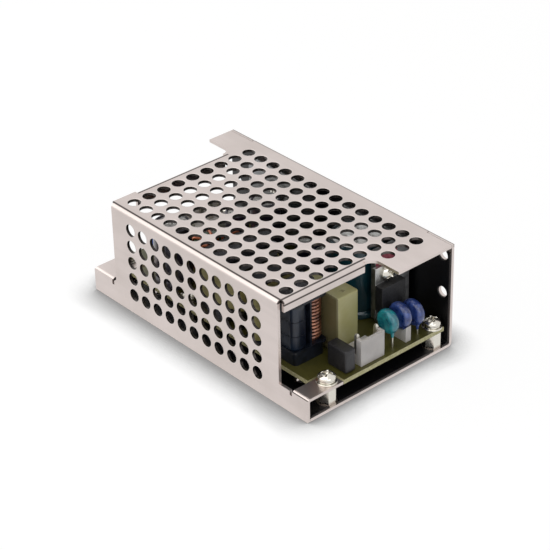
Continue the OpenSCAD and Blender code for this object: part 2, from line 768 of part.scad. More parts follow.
// Bobbin: tube on the middle post, two cheeks and two pin rails that stand on the board
module transformer_bobbin() {
    low = trafo_low + trafo_yoke;
    high = trafo_top - trafo_yoke;
    color([0.12, 0.12, 0.13]) placed() on_board() translate([trafo_at[0], trafo_at[1], 0]) difference() {
        union() {
            for (z = [low + 0.1, high - 1])
                translate([0, 0, z]) linear_extrude(0.9) round_rect(trafo_coil[0], trafo_coil[1], 1.5);
            translate([-trafo_post / 2 - 0.5, -trafo_core[1] / 2 - 0.5, low + 0.1])
                cube([trafo_post + 1, trafo_core[1] + 1, high - low - 0.2]);
            for (s = [-1, 1])
                translate([-8, s * (trafo_coil[1] / 2 - 1.8) - 1.6, 0]) cube([16, 3.2, low + 0.5]);
        }
        translate([-trafo_post / 2, -trafo_core[1] / 2, -1])
            cube([trafo_post, trafo_core[1], trafo_top + 2]);
    }
}

// Coil under yellow tape, with a band of tape round the core as well
module transformer_winding() {
    low = trafo_low + trafo_yoke + 1;
    high = trafo_top - trafo_yoke - 1;
    band_w = trafo_core[0] + 0.5;
    band_low = low + 2;
    band_h = high - low - 4;
    color([0.85, 0.78, 0.35]) placed() on_board() translate([trafo_at[0], trafo_at[1], 0]) {
        translate([0, 0, low]) linear_extrude(high - low) difference() {
            round_rect(trafo_coil[0] - 0.2, trafo_coil[1] - 0.4, 3.4);
            square([trafo_post + 1, trafo_core[1] + 1], center = true);
        }
        translate([0, 0, band_low]) linear_extrude(band_h) difference() {
            round_rect(band_w, trafo_coil[1] + 0.4, 5.4);
            round_rect(band_w - 0.5, trafo_coil[1] - 0.1, 5.2);
            square([band_w - 0.5, trafo_core[1] + 0.2], center = true);
        }
    }
}

// Powder ring of the output choke, lying on the board
module output_choke_core() {
    color([0.20, 0.26, 0.20]) placed() on_board() translate([ring_at[0], ring_at[1], ring_low])
        rotate_extrude() translate([ring_hole / 2, 0])
            translate([(ring_d - ring_hole) / 4, ring_h / 2])
                round_rect((ring_d - ring_hole) / 2, ring_h, 0.8);
}

// Turns of thick wire round the ring, with two ends on the board
module output_choke_winding() {
    wide = (ring_d - ring_hole) / 2;
    mid = (ring_d + ring_hole) / 4;
    color([0.70, 0.36, 0.20]) placed() on_board() translate([ring_at[0], ring_at[1], ring_low]) {
        for (i = [0:ring_turns - 1]) rotate((i + 0.5) * 330 / ring_turns - 60)
            translate([mid, ring_wire / 2, ring_h / 2]) rotate([90, 0, 0]) linear_extrude(ring_wire)
                difference() {
                    round_rect(wide + 2 * ring_wire, ring_h + 2 * ring_wire, 1.6);
                    round_rect(wide + 0.12, ring_h + 0.04, 0.7);
                }
        for (i = [0, ring_turns - 1]) rotate((i + 0.5) * 330 / ring_turns - 60)
            translate([mid + wide / 2 + ring_wire / 2, 0, -ring_low])
                cylinder(d = ring_wire, h = ring_h / 2);
    }
}

// ---------- power devices and heat sinks ----------

// Plate with two feet, drawn in U and W with its left end at 0
module sink_profile(l, h) {
    translate([0, heatsink_foot]) square([l, h - heatsink_foot]);
    for (x = [1.5, l - 3.5]) translate([x, 0]) square([2, heatsink_foot + 0.1]);
}

// Angle of aluminium sheet: the front leg carries the transistor, the side leg runs back
module primary_heatsink() {
    color([0.78, 0.78, 0.77]) placed() on_board() difference() {
        union() {
            translate([heatsink_u + heatsink_t - front_leg_l, heatsink_v, 0])
                along_y(0, heatsink_t) sink_profile(front_leg_l, tall_h);
            translate([heatsink_u, heatsink_v, heatsink_foot])
                cube([heatsink_t, side_leg_l, tall_h - heatsink_foot]);
            translate([heatsink_u, heatsink_v + side_leg_l - 4, 0])
                cube([heatsink_t, 2, heatsink_foot + 0.1]);
        }
        translate([transistor_u, heatsink_v - cut, transistor_hole]) rotate([-90, 0, 0])
            cylinder(d = tapped_d, h = heatsink_t + 2 * cut);
    }
}

module thermal_pad() {
    color([0.55, 0.25, 0.28]) placed() on_board()
        translate([0, heatsink_v, 0]) rotate([90, 0, 0]) linear_extrude(pad_t) difference() {
            translate(pad_at) round_rect(pad_size[0], pad_size[1], 0.6);
            translate([transistor_u, transistor_hole]) circle(d = screw_clear_d);
        }
}

// Three-lead power package lying against the plane y = 0, its leads pointing down to the board
module power_package(hole_w) {
    body_top = hole_w - 3;
    body_h = 9;
    difference() {
        union() {
            translate([-5, -tab_t, body_top - 1]) cube([10, tab_t, hole_w + 2.8 - body_top + 1]);
            translate([-5, -4.4, body_top - body_h]) cube([10, 4.4, body_h]);
        }
        translate([0, cut, hole_w]) rotate([90, 0, 0]) cylinder(d = screw_clear_d, h = tab_t + 2 * cut);
        // chamfer where the body meets the tab
        translate([-6, -4.4, body_top]) rotate([30, 0, 0]) translate([0, -2, 0]) cube([12, 3, 2]);
    }
    for (x = [-2.54, 0, 2.54])
        translate([x - 0.4, -2.8, 0]) cube([0.8, 0.5, body_top - body_h + 0.1]);
}

module switching_transistor() {
    color([0.16, 0.16, 0.17]) placed() on_board()
        translate([transistor_u, heatsink_v - pad_t, 0]) power_package(transistor_hole);
}

module transistor_screw() {
    color([0.80, 0.80, 0.78]) placed() on_board()
        translate([transistor_u, heatsink_v - pad_t - tab_t, transistor_hole])
            rotate([90, 0, 0]) pan_screw(pad_t + tab_t + heatsink_t + 0.6);
}

// Flat plate along the right edge, with the output rectifier on its inner face
module output_heatsink() {
    color([0.78, 0.78, 0.77]) placed() on_board() difference() {
        translate([0, rectifier_v - output_sink_l / 2, 0])
            along_x(heatsink_u, heatsink_u + heatsink_t) sink_profile(output_sink_l, tall_h);
        translate([heatsink_u - cut, rectifier_v, transistor_hole]) rotate([0, 90, 0])
            cylinder(d = tapped_d, h = heatsink_t + 2 * cut);
    }
}

module output_rectifier() {
    color([0.16, 0.16, 0.17]) placed() on_board()
        translate([heatsink_u, rectifier_v, 0]) rotate(-90) power_package(transistor_hole);
}

module rectifier_screw() {
    color([0.80, 0.80, 0.78]) placed() on_board()
        translate([heatsink_u - tab_t, rectifier_v, transistor_hole])
            rotate([0, -90, 0]) pan_screw(tab_t + heatsink_t + 0.2);
}

// ---------- small parts ----------

// Flat four-lead rectifier standing on its leads
module bridge_rectifier() {
    color([0.13, 0.13, 0.14]) placed() on_board() translate([bridge_at[0], bridge_at[1], 0]) {
        translate([0, 0, 3]) cube(bridge_size);
        for (i = [0:3]) lead([bridge_size[0] / 2 + (i - 1.5) * 3.8, bridge_size[1] / 2], 3.1, 0.9);
    }
}

// Chip package with gull-shaped rows of legs
module chip(l, w, h, legs) {
    translate([0, 0, 0.6]) cube([l, w, h]);
    for (i = [0:legs - 1], s = [0, 1])
        translate([(i + 0.5) * l / legs - 0.25, s * w - 0.5 + (s - 0.5) * 0.3 - (s - 0.5) * 0.5, 0])
            cube([0.5, 1, 0.6 + h / 2]);
}

module control_chip() {
    color([0.12, 0.12, 0.13]) placed() on_board()
        translate([chip_at[0], chip_at[1], 0]) chip(9.4, 6.4, 3.4, 4);
}

module optocoupler() {
    color([0.80, 0.79, 0.74]) placed() on_board()
        translate([opto_at[0], opto_at[1], 0]) chip(4.6, 6.4, 3.4, 2);
}

// Blue disc that bridges the two sides of the board
module safety_capacitor() {
    color([0.14, 0.25, 0.55]) placed() on_board()
        translate([safety_cap_at[0], safety_cap_at[1], 0]) {
            translate([0, 0, safety_cap_w]) disc_part(safety_cap_d, disc_t);
            for (s = [-1, 1]) lead([disc_t / 2 + s * 0.5, s * 2.5], safety_cap_w, 0.7);
        }
}

// Resistors that lie on the board, along X
module resistors() {
    color([0.55, 0.62, 0.70]) placed() on_board()
        for (p = resistor_at) translate([p[0], p[1], 1.15]) {
            translate([-3, 0, 0]) rotate([0, 90, 0]) cylinder(d = 2.3, h = 6);
            translate([-4.6, 0, 0]) rotate([0, 90, 0]) cylinder(d = 0.6, h = 9.2);
            for (s = [-1, 1]) translate([s * 4.4, 0, -1.15]) cylinder(d = 0.6, h = 1.4);
        }
}

// Square trimmer with a slotted rotor
module voltage_trimmer() {
    color([0.15, 0.30, 0.62]) placed() on_board()
        translate([trimmer_at[0] + trimmer_w / 2, trimmer_at[1] + trimmer_w / 2, 0]) difference() {
            union() {
                translate([-trimmer_w / 2, -trimmer_w / 2, 0]) cube([trimmer_w, trimmer_w, 4]);
                translate([0, 0, 3.9]) cylinder(d = 3.6, h = 0.8);
            }
            translate([-1.5, -0.25, 4.2]) cube([3, 0.5, 1]);
        }
}

module indicator_led() {
    color([0.35, 0.75, 0.35]) placed() on_board() translate([led_at[0], led_at[1], 0]) {
        cylinder(d = led_d + 0.8, h = 1);
        cylinder(d = led_d, h = 4);
        translate([0, 0, 4]) intersection() {
            sphere(d = led_d);
            translate([-2, -2, 0]) cube(4);
        }
    }
}

cover();
chassis();
insulating_liner();
circuit_board();
board_standoffs();
tab_standoffs();
board_screws();
tab_screws();
flange_screws();
input_header();
input_pins();
input_fuse();
film_capacitor();
varistor();
disc_capacitors();
capacitor_spacer();
line_choke_core();
line_choke_bobbin();
line_choke_windings();
filter_inductor();
bridge_rectifier();
bulk_capacitor();
primary_heatsink();
thermal_pad();
switching_transistor();
transistor_screw();
transformer_core();
transformer_bobbin();
transformer_winding();
control_chip();
optocoupler();
safety_capacitor();
output_heatsink();
output_rectifier();
rectifier_screw();
output_capacitors();
output_choke_core();
output_choke_winding();
small_capacitors();
resistors();
voltage_trimmer();
indicator_led();
output_header();
output_pins();
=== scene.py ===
import math

import bmesh
import bpy
import numpy as np
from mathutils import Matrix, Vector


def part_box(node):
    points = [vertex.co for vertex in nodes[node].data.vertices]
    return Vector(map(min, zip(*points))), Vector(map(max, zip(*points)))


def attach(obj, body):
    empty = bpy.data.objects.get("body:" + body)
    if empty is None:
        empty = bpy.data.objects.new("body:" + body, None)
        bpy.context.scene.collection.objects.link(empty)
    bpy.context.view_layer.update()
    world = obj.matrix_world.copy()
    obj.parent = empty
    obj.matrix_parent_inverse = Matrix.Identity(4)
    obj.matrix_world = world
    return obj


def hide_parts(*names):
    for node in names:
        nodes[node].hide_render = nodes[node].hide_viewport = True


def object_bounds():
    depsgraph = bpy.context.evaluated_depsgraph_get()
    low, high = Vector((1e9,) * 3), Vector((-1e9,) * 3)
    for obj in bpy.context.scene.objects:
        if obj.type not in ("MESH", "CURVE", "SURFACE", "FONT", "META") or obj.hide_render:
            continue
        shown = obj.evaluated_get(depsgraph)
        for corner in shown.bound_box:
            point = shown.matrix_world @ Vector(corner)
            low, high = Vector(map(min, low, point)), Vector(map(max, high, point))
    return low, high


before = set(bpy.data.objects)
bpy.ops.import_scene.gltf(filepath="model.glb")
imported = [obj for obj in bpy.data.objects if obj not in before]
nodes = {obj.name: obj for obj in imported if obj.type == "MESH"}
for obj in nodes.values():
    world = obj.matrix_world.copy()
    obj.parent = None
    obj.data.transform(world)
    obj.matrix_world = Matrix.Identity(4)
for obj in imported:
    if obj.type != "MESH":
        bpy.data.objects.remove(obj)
cad_box = [[float(v) for v in corner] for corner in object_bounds()]
scene = bpy.context.scene
mm = 0.001

# ---------------------------------------------------------------- camera, floor and studio light
# A pale table top under a white sky. One broad lamp stands high over the perforated side and a weaker
# one before the open front. For the camera the table glows white, and that glow is painted darker by
# ambient occlusion near the case: a painted contact shadow.

camera = bpy.data.objects.new("camera", bpy.data.cameras.new("camera"))
scene.collection.objects.link(camera)
camera.location = (-0.36555, -0.424514, 0.362061)
camera.rotation_euler = [math.radians(a) for a in (58.2421, 1.0933, -41.5849)]
camera.data.sensor_width = 36
camera.data.lens = 135.68
camera.data.clip_start = 0.05
camera.data.clip_end = 20
scene.camera = camera
scene.view_settings.view_transform = "Standard"


def lamp(name, place, aim, size, watts, tint):
    """A square area lamp at place that shines at aim: it tips down by the angle between the way to aim
    and the vertical, after a turn about Z to face it."""
    light = bpy.data.lights.new(name, "AREA")
    light.size, light.energy, light.color = size, watts, tint
    thing = bpy.data.objects.new(name, light)
    scene.collection.objects.link(thing)
    thing.location = place
    away = np.array(place, float) - np.array(aim, float)
    flat = math.hypot(away[0], away[1])
    thing.rotation_euler = (math.atan2(flat, away[2]), 0, math.atan2(away[0], -away[1]))


lamp("key_lamp", place=(-0.60, 0.35, 0.90), aim=(0, 0, 0.01), size=2.1, watts=12.5, tint=(1, 0.985, 0.965))
lamp("front_lamp", place=(-0.30, -0.95, 0.55), aim=(0, 0, 0.02), size=0.9, watts=3.1, tint=(0.96, 0.98, 1))


class Socket:
    """A shader value. Python's operators on it add Math nodes, so a finish reads as a sum."""

    def __init__(self, finish, link):
        self.finish, self.link = finish, link

    def math(self, operation, *values):
        """One Math node: its operation and the values or links that go into it."""
        return self.finish.node("ShaderNodeMath", values, operation=operation)

    def __add__(self, other):
        return self.math("ADD", self, other)

    def __sub__(self, other):
        return self.math("SUBTRACT", self, other)

    def __rsub__(self, other):
        return self.math("SUBTRACT", other, self)

    def __mul__(self, other):
        return self.math("MULTIPLY", self, other)

    def __truediv__(self, other):
        return self.math("DIVIDE", self, other)

    def __pow__(self, other):
        return self.math("POWER", self, other)

    def __mod__(self, other):
        return self.math("FLOORED_MODULO", self, other)

    def __gt__(self, other):
        return self.math("GREATER_THAN", self, other)

    def __lt__(self, other):
        return self.math("LESS_THAN", self, other)

    def __abs__(self):
        return self.math("ABSOLUTE", self)

    def __or__(self, other):
        return self.math("MAXIMUM", self, other)

    def __and__(self, other):
        return self.math("MINIMUM", self, other)

    __radd__, __rmul__ = __add__, __mul__

    def step(self, low, high):
        """0 below low and 1 above high, with a smooth slope between."""
        return self.finish.node("ShaderNodeMapRange", {0: self, 1: low, 2: high, 3: 0, 4: 1},
                                interpolation_type="SMOOTHSTEP")


class Finish:
    """One procedural material on a Principled shader, whose fixed sockets are given by name."""

    def __init__(self, name, **fixed):
        self.material = bpy.data.materials.new(name)
        self.material.use_nodes = True
        self.tree = self.material.node_tree
        self.shader = self.tree.nodes["Principled BSDF"]
        self.set(**fixed)

    def set(self, **sockets):
        """Sets or links sockets of the shader: Base_Color stands for its Base Color."""
        for name, value in sockets.items():
            self.put(self.shader.inputs[name.replace("_", " ")], value)

    def put(self, socket, value):
        """Links a shader value to a socket, or sets it: three numbers on a colour socket get alpha 1."""
        if isinstance(value, Socket):
            self.tree.links.new(value.link, socket)
        elif hasattr(value, "__len__") and len(value) == 3 and socket.type == "RGBA":
            socket.default_value = (*value, 1)
        else:
            socket.default_value = value

    def node(self, kind, values=(), output=0, **settings):
        """Adds a node: its settings first, then the values or links of its sockets."""
        node = self.tree.nodes.new(kind)
        for key, value in settings.items():
            setattr(node, key, value)
        for key, value in values.items() if isinstance(values, dict) else enumerate(values):
            self.put(node.inputs[key], value)
        return Socket(self, node.outputs[output])

    def blend(self, amount, first, second):
        """first where amount is 0 and second where it is 1, for colours."""
        return self.node("ShaderNodeMix", {0: amount, 6: first, 7: second}, 2, data_type="RGBA")

    def place(self, stretch=(1, 1, 1)):
        """The point on the object, in metres, with each axis multiplied by its stretch."""
        point = self.node("ShaderNodeTexCoord", output=3)
        if stretch == (1, 1, 1):
            return point
        return self.node("ShaderNodeVectorMath", {0: point, 1: stretch}, operation="MULTIPLY")

    def axes(self):
        """x, y and z of the point on the object, in millimetres."""
        point = self.place((1000, 1000, 1000))
        return [self.node("ShaderNodeSeparateXYZ", [point], k) for k in range(3)]

    def noise(self, per_metre, detail=3, rough=0.5, stretch=(1, 1, 1)):
        """Cloudy noise from 0 to 1 round 0.5, with per_metre clouds to the metre."""
        return self.node("ShaderNodeTexNoise", {"Vector": self.place(stretch), "Scale": per_metre,
                                                "Detail": detail, "Roughness": rough})

    def bump(self, height, depth, strength):
        """The surface's normal for a relief: height runs from 0 to 1 and depth is in metres."""
        self.set(Normal=self.node("ShaderNodeBump", {"Height": height, "Distance": depth,
                                                     "Strength": strength}))


def colour(red, green, blue):
    """The linear colour of an 8-bit display colour: each share of 255 to the power 2.2."""
    return tuple((v / 255) ** 2.2 for v in (red, green, blue))


table_reach, table_drop = 6, 0.0001
contact_shadow, shadow_depth = 0.0115, 2.4
corners = [(u * table_reach, v * table_reach, -table_drop) for u, v in ((-1, -1), (1, -1), (1, 1), (-1, 1))]
table = bpy.data.meshes.new("table_top")
table.from_pydata(corners, [], [(0, 1, 2, 3)])
table_top = bpy.data.objects.new("table_top", table)
scene.collection.objects.link(table_top)
paper = Finish("table_paper", Roughness=0.9, Specular_IOR_Level=0.1, Emission_Strength=0.9)
seen = paper.node("ShaderNodeLightPath", output=0)
mirrored = paper.node("ShaderNodeLightPath", output=3)
open_sky = paper.node("ShaderNodeAmbientOcclusion", {"Distance": contact_shadow}, 1, samples=8)
# Painted contact shadow: the glow that camera rays see falls off with ambient occlusion near the case.
paper.set(Base_Color=paper.blend(seen | mirrored, (0.7, 0.7, 0.7), (0.16, 0.16, 0.16)),
          Emission_Color=paper.blend(mirrored | (seen * open_sky ** shadow_depth), (0, 0, 0), (1, 1, 1)))
table.materials.append(paper.material)

fill_light = 0.16
sky = bpy.data.worlds.new("sky")
scene.world = sky
sky.use_nodes = True
links, made = sky.node_tree.links, sky.node_tree.nodes
background, ray = made["Background"], made.new("ShaderNodeLightPath")
background.inputs["Color"].default_value = (1, 1, 1, 1)
bright = made.new("ShaderNodeMath")
bright.operation = "MAXIMUM"
links.new(ray.outputs["Is Camera Ray"], bright.inputs[0])
links.new(ray.outputs["Is Glossy Ray"], bright.inputs[1])
level = made.new("ShaderNodeMapRange")
level.inputs["To Min"].default_value = fill_light
level.inputs["To Max"].default_value = 1.0
links.new(bright.outputs[0], level.inputs["Value"])
links.new(level.outputs[0], background.inputs["Strength"])

# ---------------------------------------------------------------- folded case
# Two parts folded from 1 mm plated sheet: the base with its solid wall, and the top with its
# perforated wall, lips and tabs. The holes are punched from outside, which rounds their outer edge.


def dress(node, finish, edge=0.0):
    """Gives a CAD node its finish and, where edge is set, rounds its corners by that many mm wherever
    two faces meet at more than 40 degrees."""
    thing = nodes[node]
    thing.data.materials.clear()
    thing.data.materials.append(finish.material)
    if edge:
        weld = thing.modifiers.new("weld", "WELD")
        weld.merge_threshold = 1e-6
        bevel = thing.modifiers.new("edges", "BEVEL")
        bevel.width, bevel.segments = edge * mm, 2
        bevel.limit_method, bevel.angle_limit = "ANGLE", math.radians(40)


def box_mm(node):
    """Lowest and highest corner of a CAD node, in millimetres."""
    return [np.array(corner, float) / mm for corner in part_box(node)]


left, front = (float(v) / mm for v in cad_box[0][:2])
rear, top = (float(v) / mm for v in cad_box[1][1:])
vent_pitch, vent_r, roll_w, face_depth = 6.0, 2.2, 0.28, 0.7
case_metal = Finish("case_metal", Metallic=1.0)
x, y, z = case_metal.axes()


def span(u, v):
    """The length of a step of u and v: the square root of the sum of their squares."""
    return (u ** 2 + v ** 2) ** 0.5


def to_vent(across, along, first_across, first_along):
    """Distance to the nearest vent's centre: both coordinates wrap round at the vent pitch."""
    half = vent_pitch / 2
    u = (across - first_across + half) % vent_pitch - half
    v = (along - first_along + half) % vent_pitch - half
    return span(u, v)


def among(value, first, count):
    """1 from half a pitch before the first of count rows to half a pitch after the last, and else 0."""
    return (value > first - vent_pitch / 2) & (value < first + (count - 0.5) * vent_pitch)


def rolled_in(rim):
    """1 at a vent's rim, fading to 0 over the metal that the punch drew in."""
    return 1 - rim.step(vent_r - 0.05, vent_r + roll_w)


vent_column, vent_row, wall_row, wall_low = left + 6, front + 15.4, front + 22.4, 7.1
in_top = (among(x, vent_column, 9) & among(y, vent_row, 13)) | \
    (among(x, vent_column + 6 * vent_pitch, 3) & among(y, vent_row - vent_pitch, 14))
in_wall = among(y, wall_row, 11) & among(z, wall_low, 5)
rim_top, rim_wall = to_vent(x, y, vent_column, vent_row), to_vent(y, z, wall_row, wall_low)
roll = (rolled_in(rim_top) * (z > top - face_depth) * in_top) | \
    (rolled_in(rim_wall) * (x < left + face_depth) * in_wall)
# Painted shade in the vent bores: their walls below the rim are darkened as if in shadow.
cut_r, cut_depth, below_rim = vent_r + 0.04, 2, 0.06
bore_shade = ((rim_top < cut_r) * (z > top - cut_depth) * (z < top - below_rim) * in_top) | \
    ((rim_wall < cut_r) * (x < left + cut_depth) * (x > left + below_rim) * in_wall)
rolled = case_metal.noise(220, 4, 0.6, (1, 0.03, 1))
cloud = case_metal.noise(45, 3, 0.55)
grain = case_metal.noise(2600, 2, 0.6)
metal_colour = case_metal.blend(cloud.step(0.3, 0.7), colour(200, 189, 184), colour(211, 200, 196))
metal_colour = case_metal.blend(rolled.step(0.35, 0.75) * 0.25, metal_colour, colour(184, 175, 170))
# Painted highlight: the rolled-in rim round each vent is made paler, as if it caught the light.
metal_colour = case_metal.blend(roll * 0.35, metal_colour, colour(236, 232, 228))


def thin_line(distance, half_width):
    """1 on a line and 0 beyond half_width mm from it: a painted line of shade where a bend starts, and the
    dark seam.
    """
    return 1 - abs(distance).step(half_width * 0.4, half_width)


fold_out, seam_x = 1.4, 29.9
lip_front, lip_rear = front + 11.2, rear - 10.7
front_lip_end, rear_lip_start, rear_lip_end = 4.4, left + 10.5, 17.4
on_top = z > top - 1
left_bend = thin_line(x - (left + fold_out), 0.5) * (y > lip_front) * (y < lip_rear) * on_top
lip_face = (y < lip_front + 0.5) * (y > lip_front - 1.5)
front_bend = (thin_line(y - (lip_front + fold_out), 0.5) * on_top |
              thin_line(z - (top - fold_out), 0.42) * lip_face) * (x < front_lip_end)
rear_bend = thin_line(y - (lip_rear - fold_out), 0.42) * on_top
rear_bend = rear_bend * (x > rear_lip_start) * (x < rear_lip_end)
seam = thin_line(x - seam_x, 0.3) * on_top * 0.7
bend_shade_and_seam = left_bend | front_bend | rear_bend | seam
# Painted shade: a dark line where each bend starts. The line at the seam is the dark joint between the top
# and the solid wall.
metal_colour = case_metal.blend(bend_shade_and_seam * 0.9, metal_colour, colour(40, 33, 30))
case_metal.set(Base_Color=case_metal.blend(bore_shade * 0.88, metal_colour, colour(44, 40, 38)),
               Roughness=0.26 + cloud * 0.05 + rolled * 0.04 + grain * 0.04)
case_metal.bump(grain * 0.35 + rolled * 0.4 - roll * 6, 0.00003, 0.5)
dress("cover", case_metal)
dress("chassis", case_metal)

# ---------------------------------------------------------------- insulating liner
# A thin black polyester film, cut and folded by hand to line the base and the solid wall. It lies a
# little uneven, so its sheen breaks up.

film = Finish("black_film", Base_Color=colour(9, 9, 13), Roughness=0.4)
film.bump(film.noise(70, 2) + film.noise(900, 2) * 0.08, 0.0006, 0.35)
dress("insulating_liner", film)

# ---------------------------------------------------------------- circuit board
# Single-sided laminate, sawn to size: an olive varnished top with a fibre weave under it and a pale
# sawn edge.

board_lo, board_hi = box_mm("circuit_board")
board_top = board_hi[2]
varnish = 0.06
laminate = Finish("board_laminate")
cloth = {"Vector": laminate.place(), "Scale": 520, "Distortion": 0.6}
weave, cross = [laminate.node("ShaderNodeTexWave", cloth, 1, bands_direction=way) for way in "XY"]
blotch = laminate.noise(90, 4, 0.6)
olive = laminate.blend(blotch.step(0.3, 0.72), colour(70, 68, 31), colour(98, 94, 47))
olive = laminate.blend((weave * cross) * 0.25, olive, colour(126, 122, 72))
z = laminate.axes()[2]
sawn = (z < board_top - varnish) * (z > board_lo[2] + varnish)
fibre = laminate.noise(1500, 2).step(0.3, 0.7)
sawn_colour = laminate.blend(fibre, colour(196, 190, 140), colour(222, 216, 172))
laminate.set(Base_Color=laminate.blend(sawn, olive, sawn_colour),
             Roughness=0.30 + sawn * 0.45 + blotch * 0.1)
laminate.bump((weave + cross) * 0.5 * (1 - sawn) + laminate.noise(2500, 2) * sawn, 0.00003, 0.5)
dress("circuit_board", laminate)

# ---------------------------------------------------------------- standoffs and screws
# Hexagonal brass-bodied standoffs with nickel plate are pressed into the base. Each M3 pan head
# screw stands on a split spring washer and a flat washer.

nickel = Finish("nickel_plate", Base_Color=colour(214, 210, 200), Metallic=1.0)
nickel.set(Roughness=0.16 + nickel.noise(700, 3).step(0.3, 0.8) * 0.14)
nickel.bump(nickel.noise(1800, 2), 0.00002, 0.4)
dress("board_standoffs", nickel, 0.15)
dress("tab_standoffs", nickel, 0.15)


def solids(node):
    """Boxes of the separate solids of a CAD node, by x and then y. Each triangle takes the lowest number
    among its corners and hands it on, until every solid has one number."""
    mesh = nodes[node].data
    points = np.empty(len(mesh.vertices) * 3)
    mesh.vertices.foreach_get("co", points)
    points = points.reshape(-1, 3)
    corners = np.empty(len(mesh.loops), int)
    mesh.loops.foreach_get("vertex_index", corners)
    same = np.unique(np.round(points, 7), axis=0, return_inverse=True)[1].ravel()
    faces = same[corners].reshape(-1, 3)
    label = np.arange(same.max() + 1)
    while True:
        low = label[faces].min(1)
        new = label.copy()
        np.minimum.at(new, faces.ravel(), np.repeat(low, 3))
        new = new[new]
        if (new == label).all():
            break
        label = new
    groups = label[same]
    boxes = [(points[groups == g].min(0), points[groups == g].max(0)) for g in np.unique(groups)]
    return sorted(boxes, key=lambda b: (round(b[0][0], 4), round(b[0][1], 4)))


def build(name, shells, finishes, *stands_for):
    """One piece from grids of points. Each shell is (points, slot): rows by columns by 3, with quads
    between neighbours. Equal points merge, which closes seams and poles, faces point outwards, and
    edges sharper than 38 degrees stay hard."""
    mesh = bpy.data.meshes.new(name)
    points, quads, slots, start = [], [], [], 0
    for shell in shells:
        grid, slot = shell if isinstance(shell, tuple) else (shell, 0)
        rows, columns = grid.shape[:2]
        index = start + np.arange(rows * columns).reshape(rows, columns)
        quad = np.stack([index[:-1, :-1], index[1:, :-1], index[1:, 1:], index[:-1, 1:]], -1).reshape(-1, 4)
        points.append(grid.reshape(-1, 3))
        quads.append(quad)
        slots.append(np.full(len(quad), slot))
        start += rows * columns
    mesh.from_pydata(np.concatenate(points).tolist(), [], np.concatenate(quads).tolist())
    mesh.polygons.foreach_set("material_index", np.concatenate(slots))
    work = bmesh.new()
    work.from_mesh(mesh)
    bmesh.ops.remove_doubles(work, verts=work.verts, dist=2e-7)
    bmesh.ops.recalc_face_normals(work, faces=work.faces)
    work.to_mesh(mesh)
    work.free()
    mesh.polygons.foreach_set("use_smooth", np.ones(len(mesh.polygons), bool))
    mesh.set_sharp_from_angle(angle=math.radians(38))
    for finish in finishes:
        mesh.materials.append(finish.material)
    thing = bpy.data.objects.new(name, mesh)
    scene.collection.objects.link(thing)
    if stands_for:
        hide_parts(*stands_for)
    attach(thing, "root")
    return thing


def once_round(sides):
    """Angles once round a circle: the last is the first again, which closes the seam."""
    turn = np.linspace(0, 2 * np.pi, sides + 1)
    turn[-1] = 0
    return turn


def turned(profile, sides):
    """A surface of revolution about Z: each (radius, height) of the profile, swept round the circle."""
    profile = np.array(profile, float)
    turn = once_round(sides)
    r, h = profile[:, :1], profile[:, 1:2]
    return np.stack([r * np.cos(turn), r * np.sin(turn), h + 0 * turn], -1)


def arc(centre, r, start, end, steps=6):
    """Points on a circle round centre, from angle start to end in degrees."""
    a = np.radians(np.linspace(start, end, steps + 1))
    return [(centre[0] + r * math.cos(t), centre[1] + r * math.sin(t)) for t in a]


def screw_head(r, h):
    """A pan head in mm with a cross recess. The dome is a slice of a ball that rises by crown. A point is
    lowered where it lies within a slot's half width of an axis of the cross: the slot narrows and gets
    shallower towards the end of its arm, and the drop eases in as 3c^2 - 2c^3."""
    crown, arm, slot, deep, round_in, round_end, foot = 0.62 * h, 1.75, 0.42, 1.15, 0.14, 0.35, 0.08
    dome = np.linspace(0, r * 0.985, 44)
    turn = once_round(96)
    ball = (r ** 2 + crown ** 2) / (2 * crown)
    rise = np.sqrt(ball ** 2 - dome ** 2) - (ball - h)
    px, py = dome[:, None] * np.cos(turn), dome[:, None] * np.sin(turn)
    near = np.minimum(abs(px), abs(py))
    far = np.maximum(abs(px), abs(py))
    width = slot * (1 - 0.35 * far / arm)
    cut = np.clip((width - near) / round_in + 0.5, 0, 1) * np.clip((arm - far) / round_end + 0.5, 0, 1)
    floor = deep * np.clip(1.25 - far / arm, 0.25, 1)
    grid = np.stack([px, py, rise[:, None] - floor * cut * cut * (3 - 2 * cut)], -1)
    side = turned([(r, rise[-1] - 0.1), (r, foot), (r - foot, 0), (0, 0)], 96)
    return np.concatenate([grid, side]) * mm


def split_washer(inner, outer, thick):
    """A spring washer in mm: a square section carried round 350 degrees while it climbs by rise."""
    rise, steps = 0.25, 80
    turn = np.radians(np.linspace(5, 355, steps))
    lift = rise * np.linspace(0, 1, steps)
    section = [(inner, 0), (outer, 0), (outer, thick), (inner, thick), (inner, 0)]
    ring = np.stack([np.stack([r * np.cos(turn), r * np.sin(turn), h + lift], -1) for r, h in section], 1)
    ends = [np.repeat(ring[i:i + 1].mean(1, keepdims=True), 5, 1) for i in (0, -1)]
    return np.concatenate([ends[0], ring, ends[1]]) * mm


def aimed(grid, at, axis):
    """Turns a grid made along +Z to point along axis, then moves it to at: each point is the sum of its
    three coordinates times three square directions."""
    w = np.array(axis, float)
    u = np.array([0, 1.0, 0]) if abs(w[1]) < 0.5 else np.array([1.0, 0, 0])
    v = np.cross(w, u)
    return grid[..., :1] * u + grid[..., 1:2] * v + grid[..., 2:] * w + np.array(at)


def spun(grid, degrees):
    """Turns a grid about Z: x' = x cos a - y sin a and y' = x sin a + y cos a."""
    a = math.radians(degrees)
    out = grid.copy()
    out[..., 0] = grid[..., 0] * math.cos(a) - grid[..., 1] * math.sin(a)
    out[..., 1] = grid[..., 0] * math.sin(a) + grid[..., 1] * math.cos(a)
    return out


head_r, head_h, shank_r, washer_hole = 2.8, 2.1, 1.45, 1.6
flat_r, flat_t, flat_edge, spring_r, spring_t, stack = 3.3, 0.5, 0.1, 2.7, 0.62, 1.3


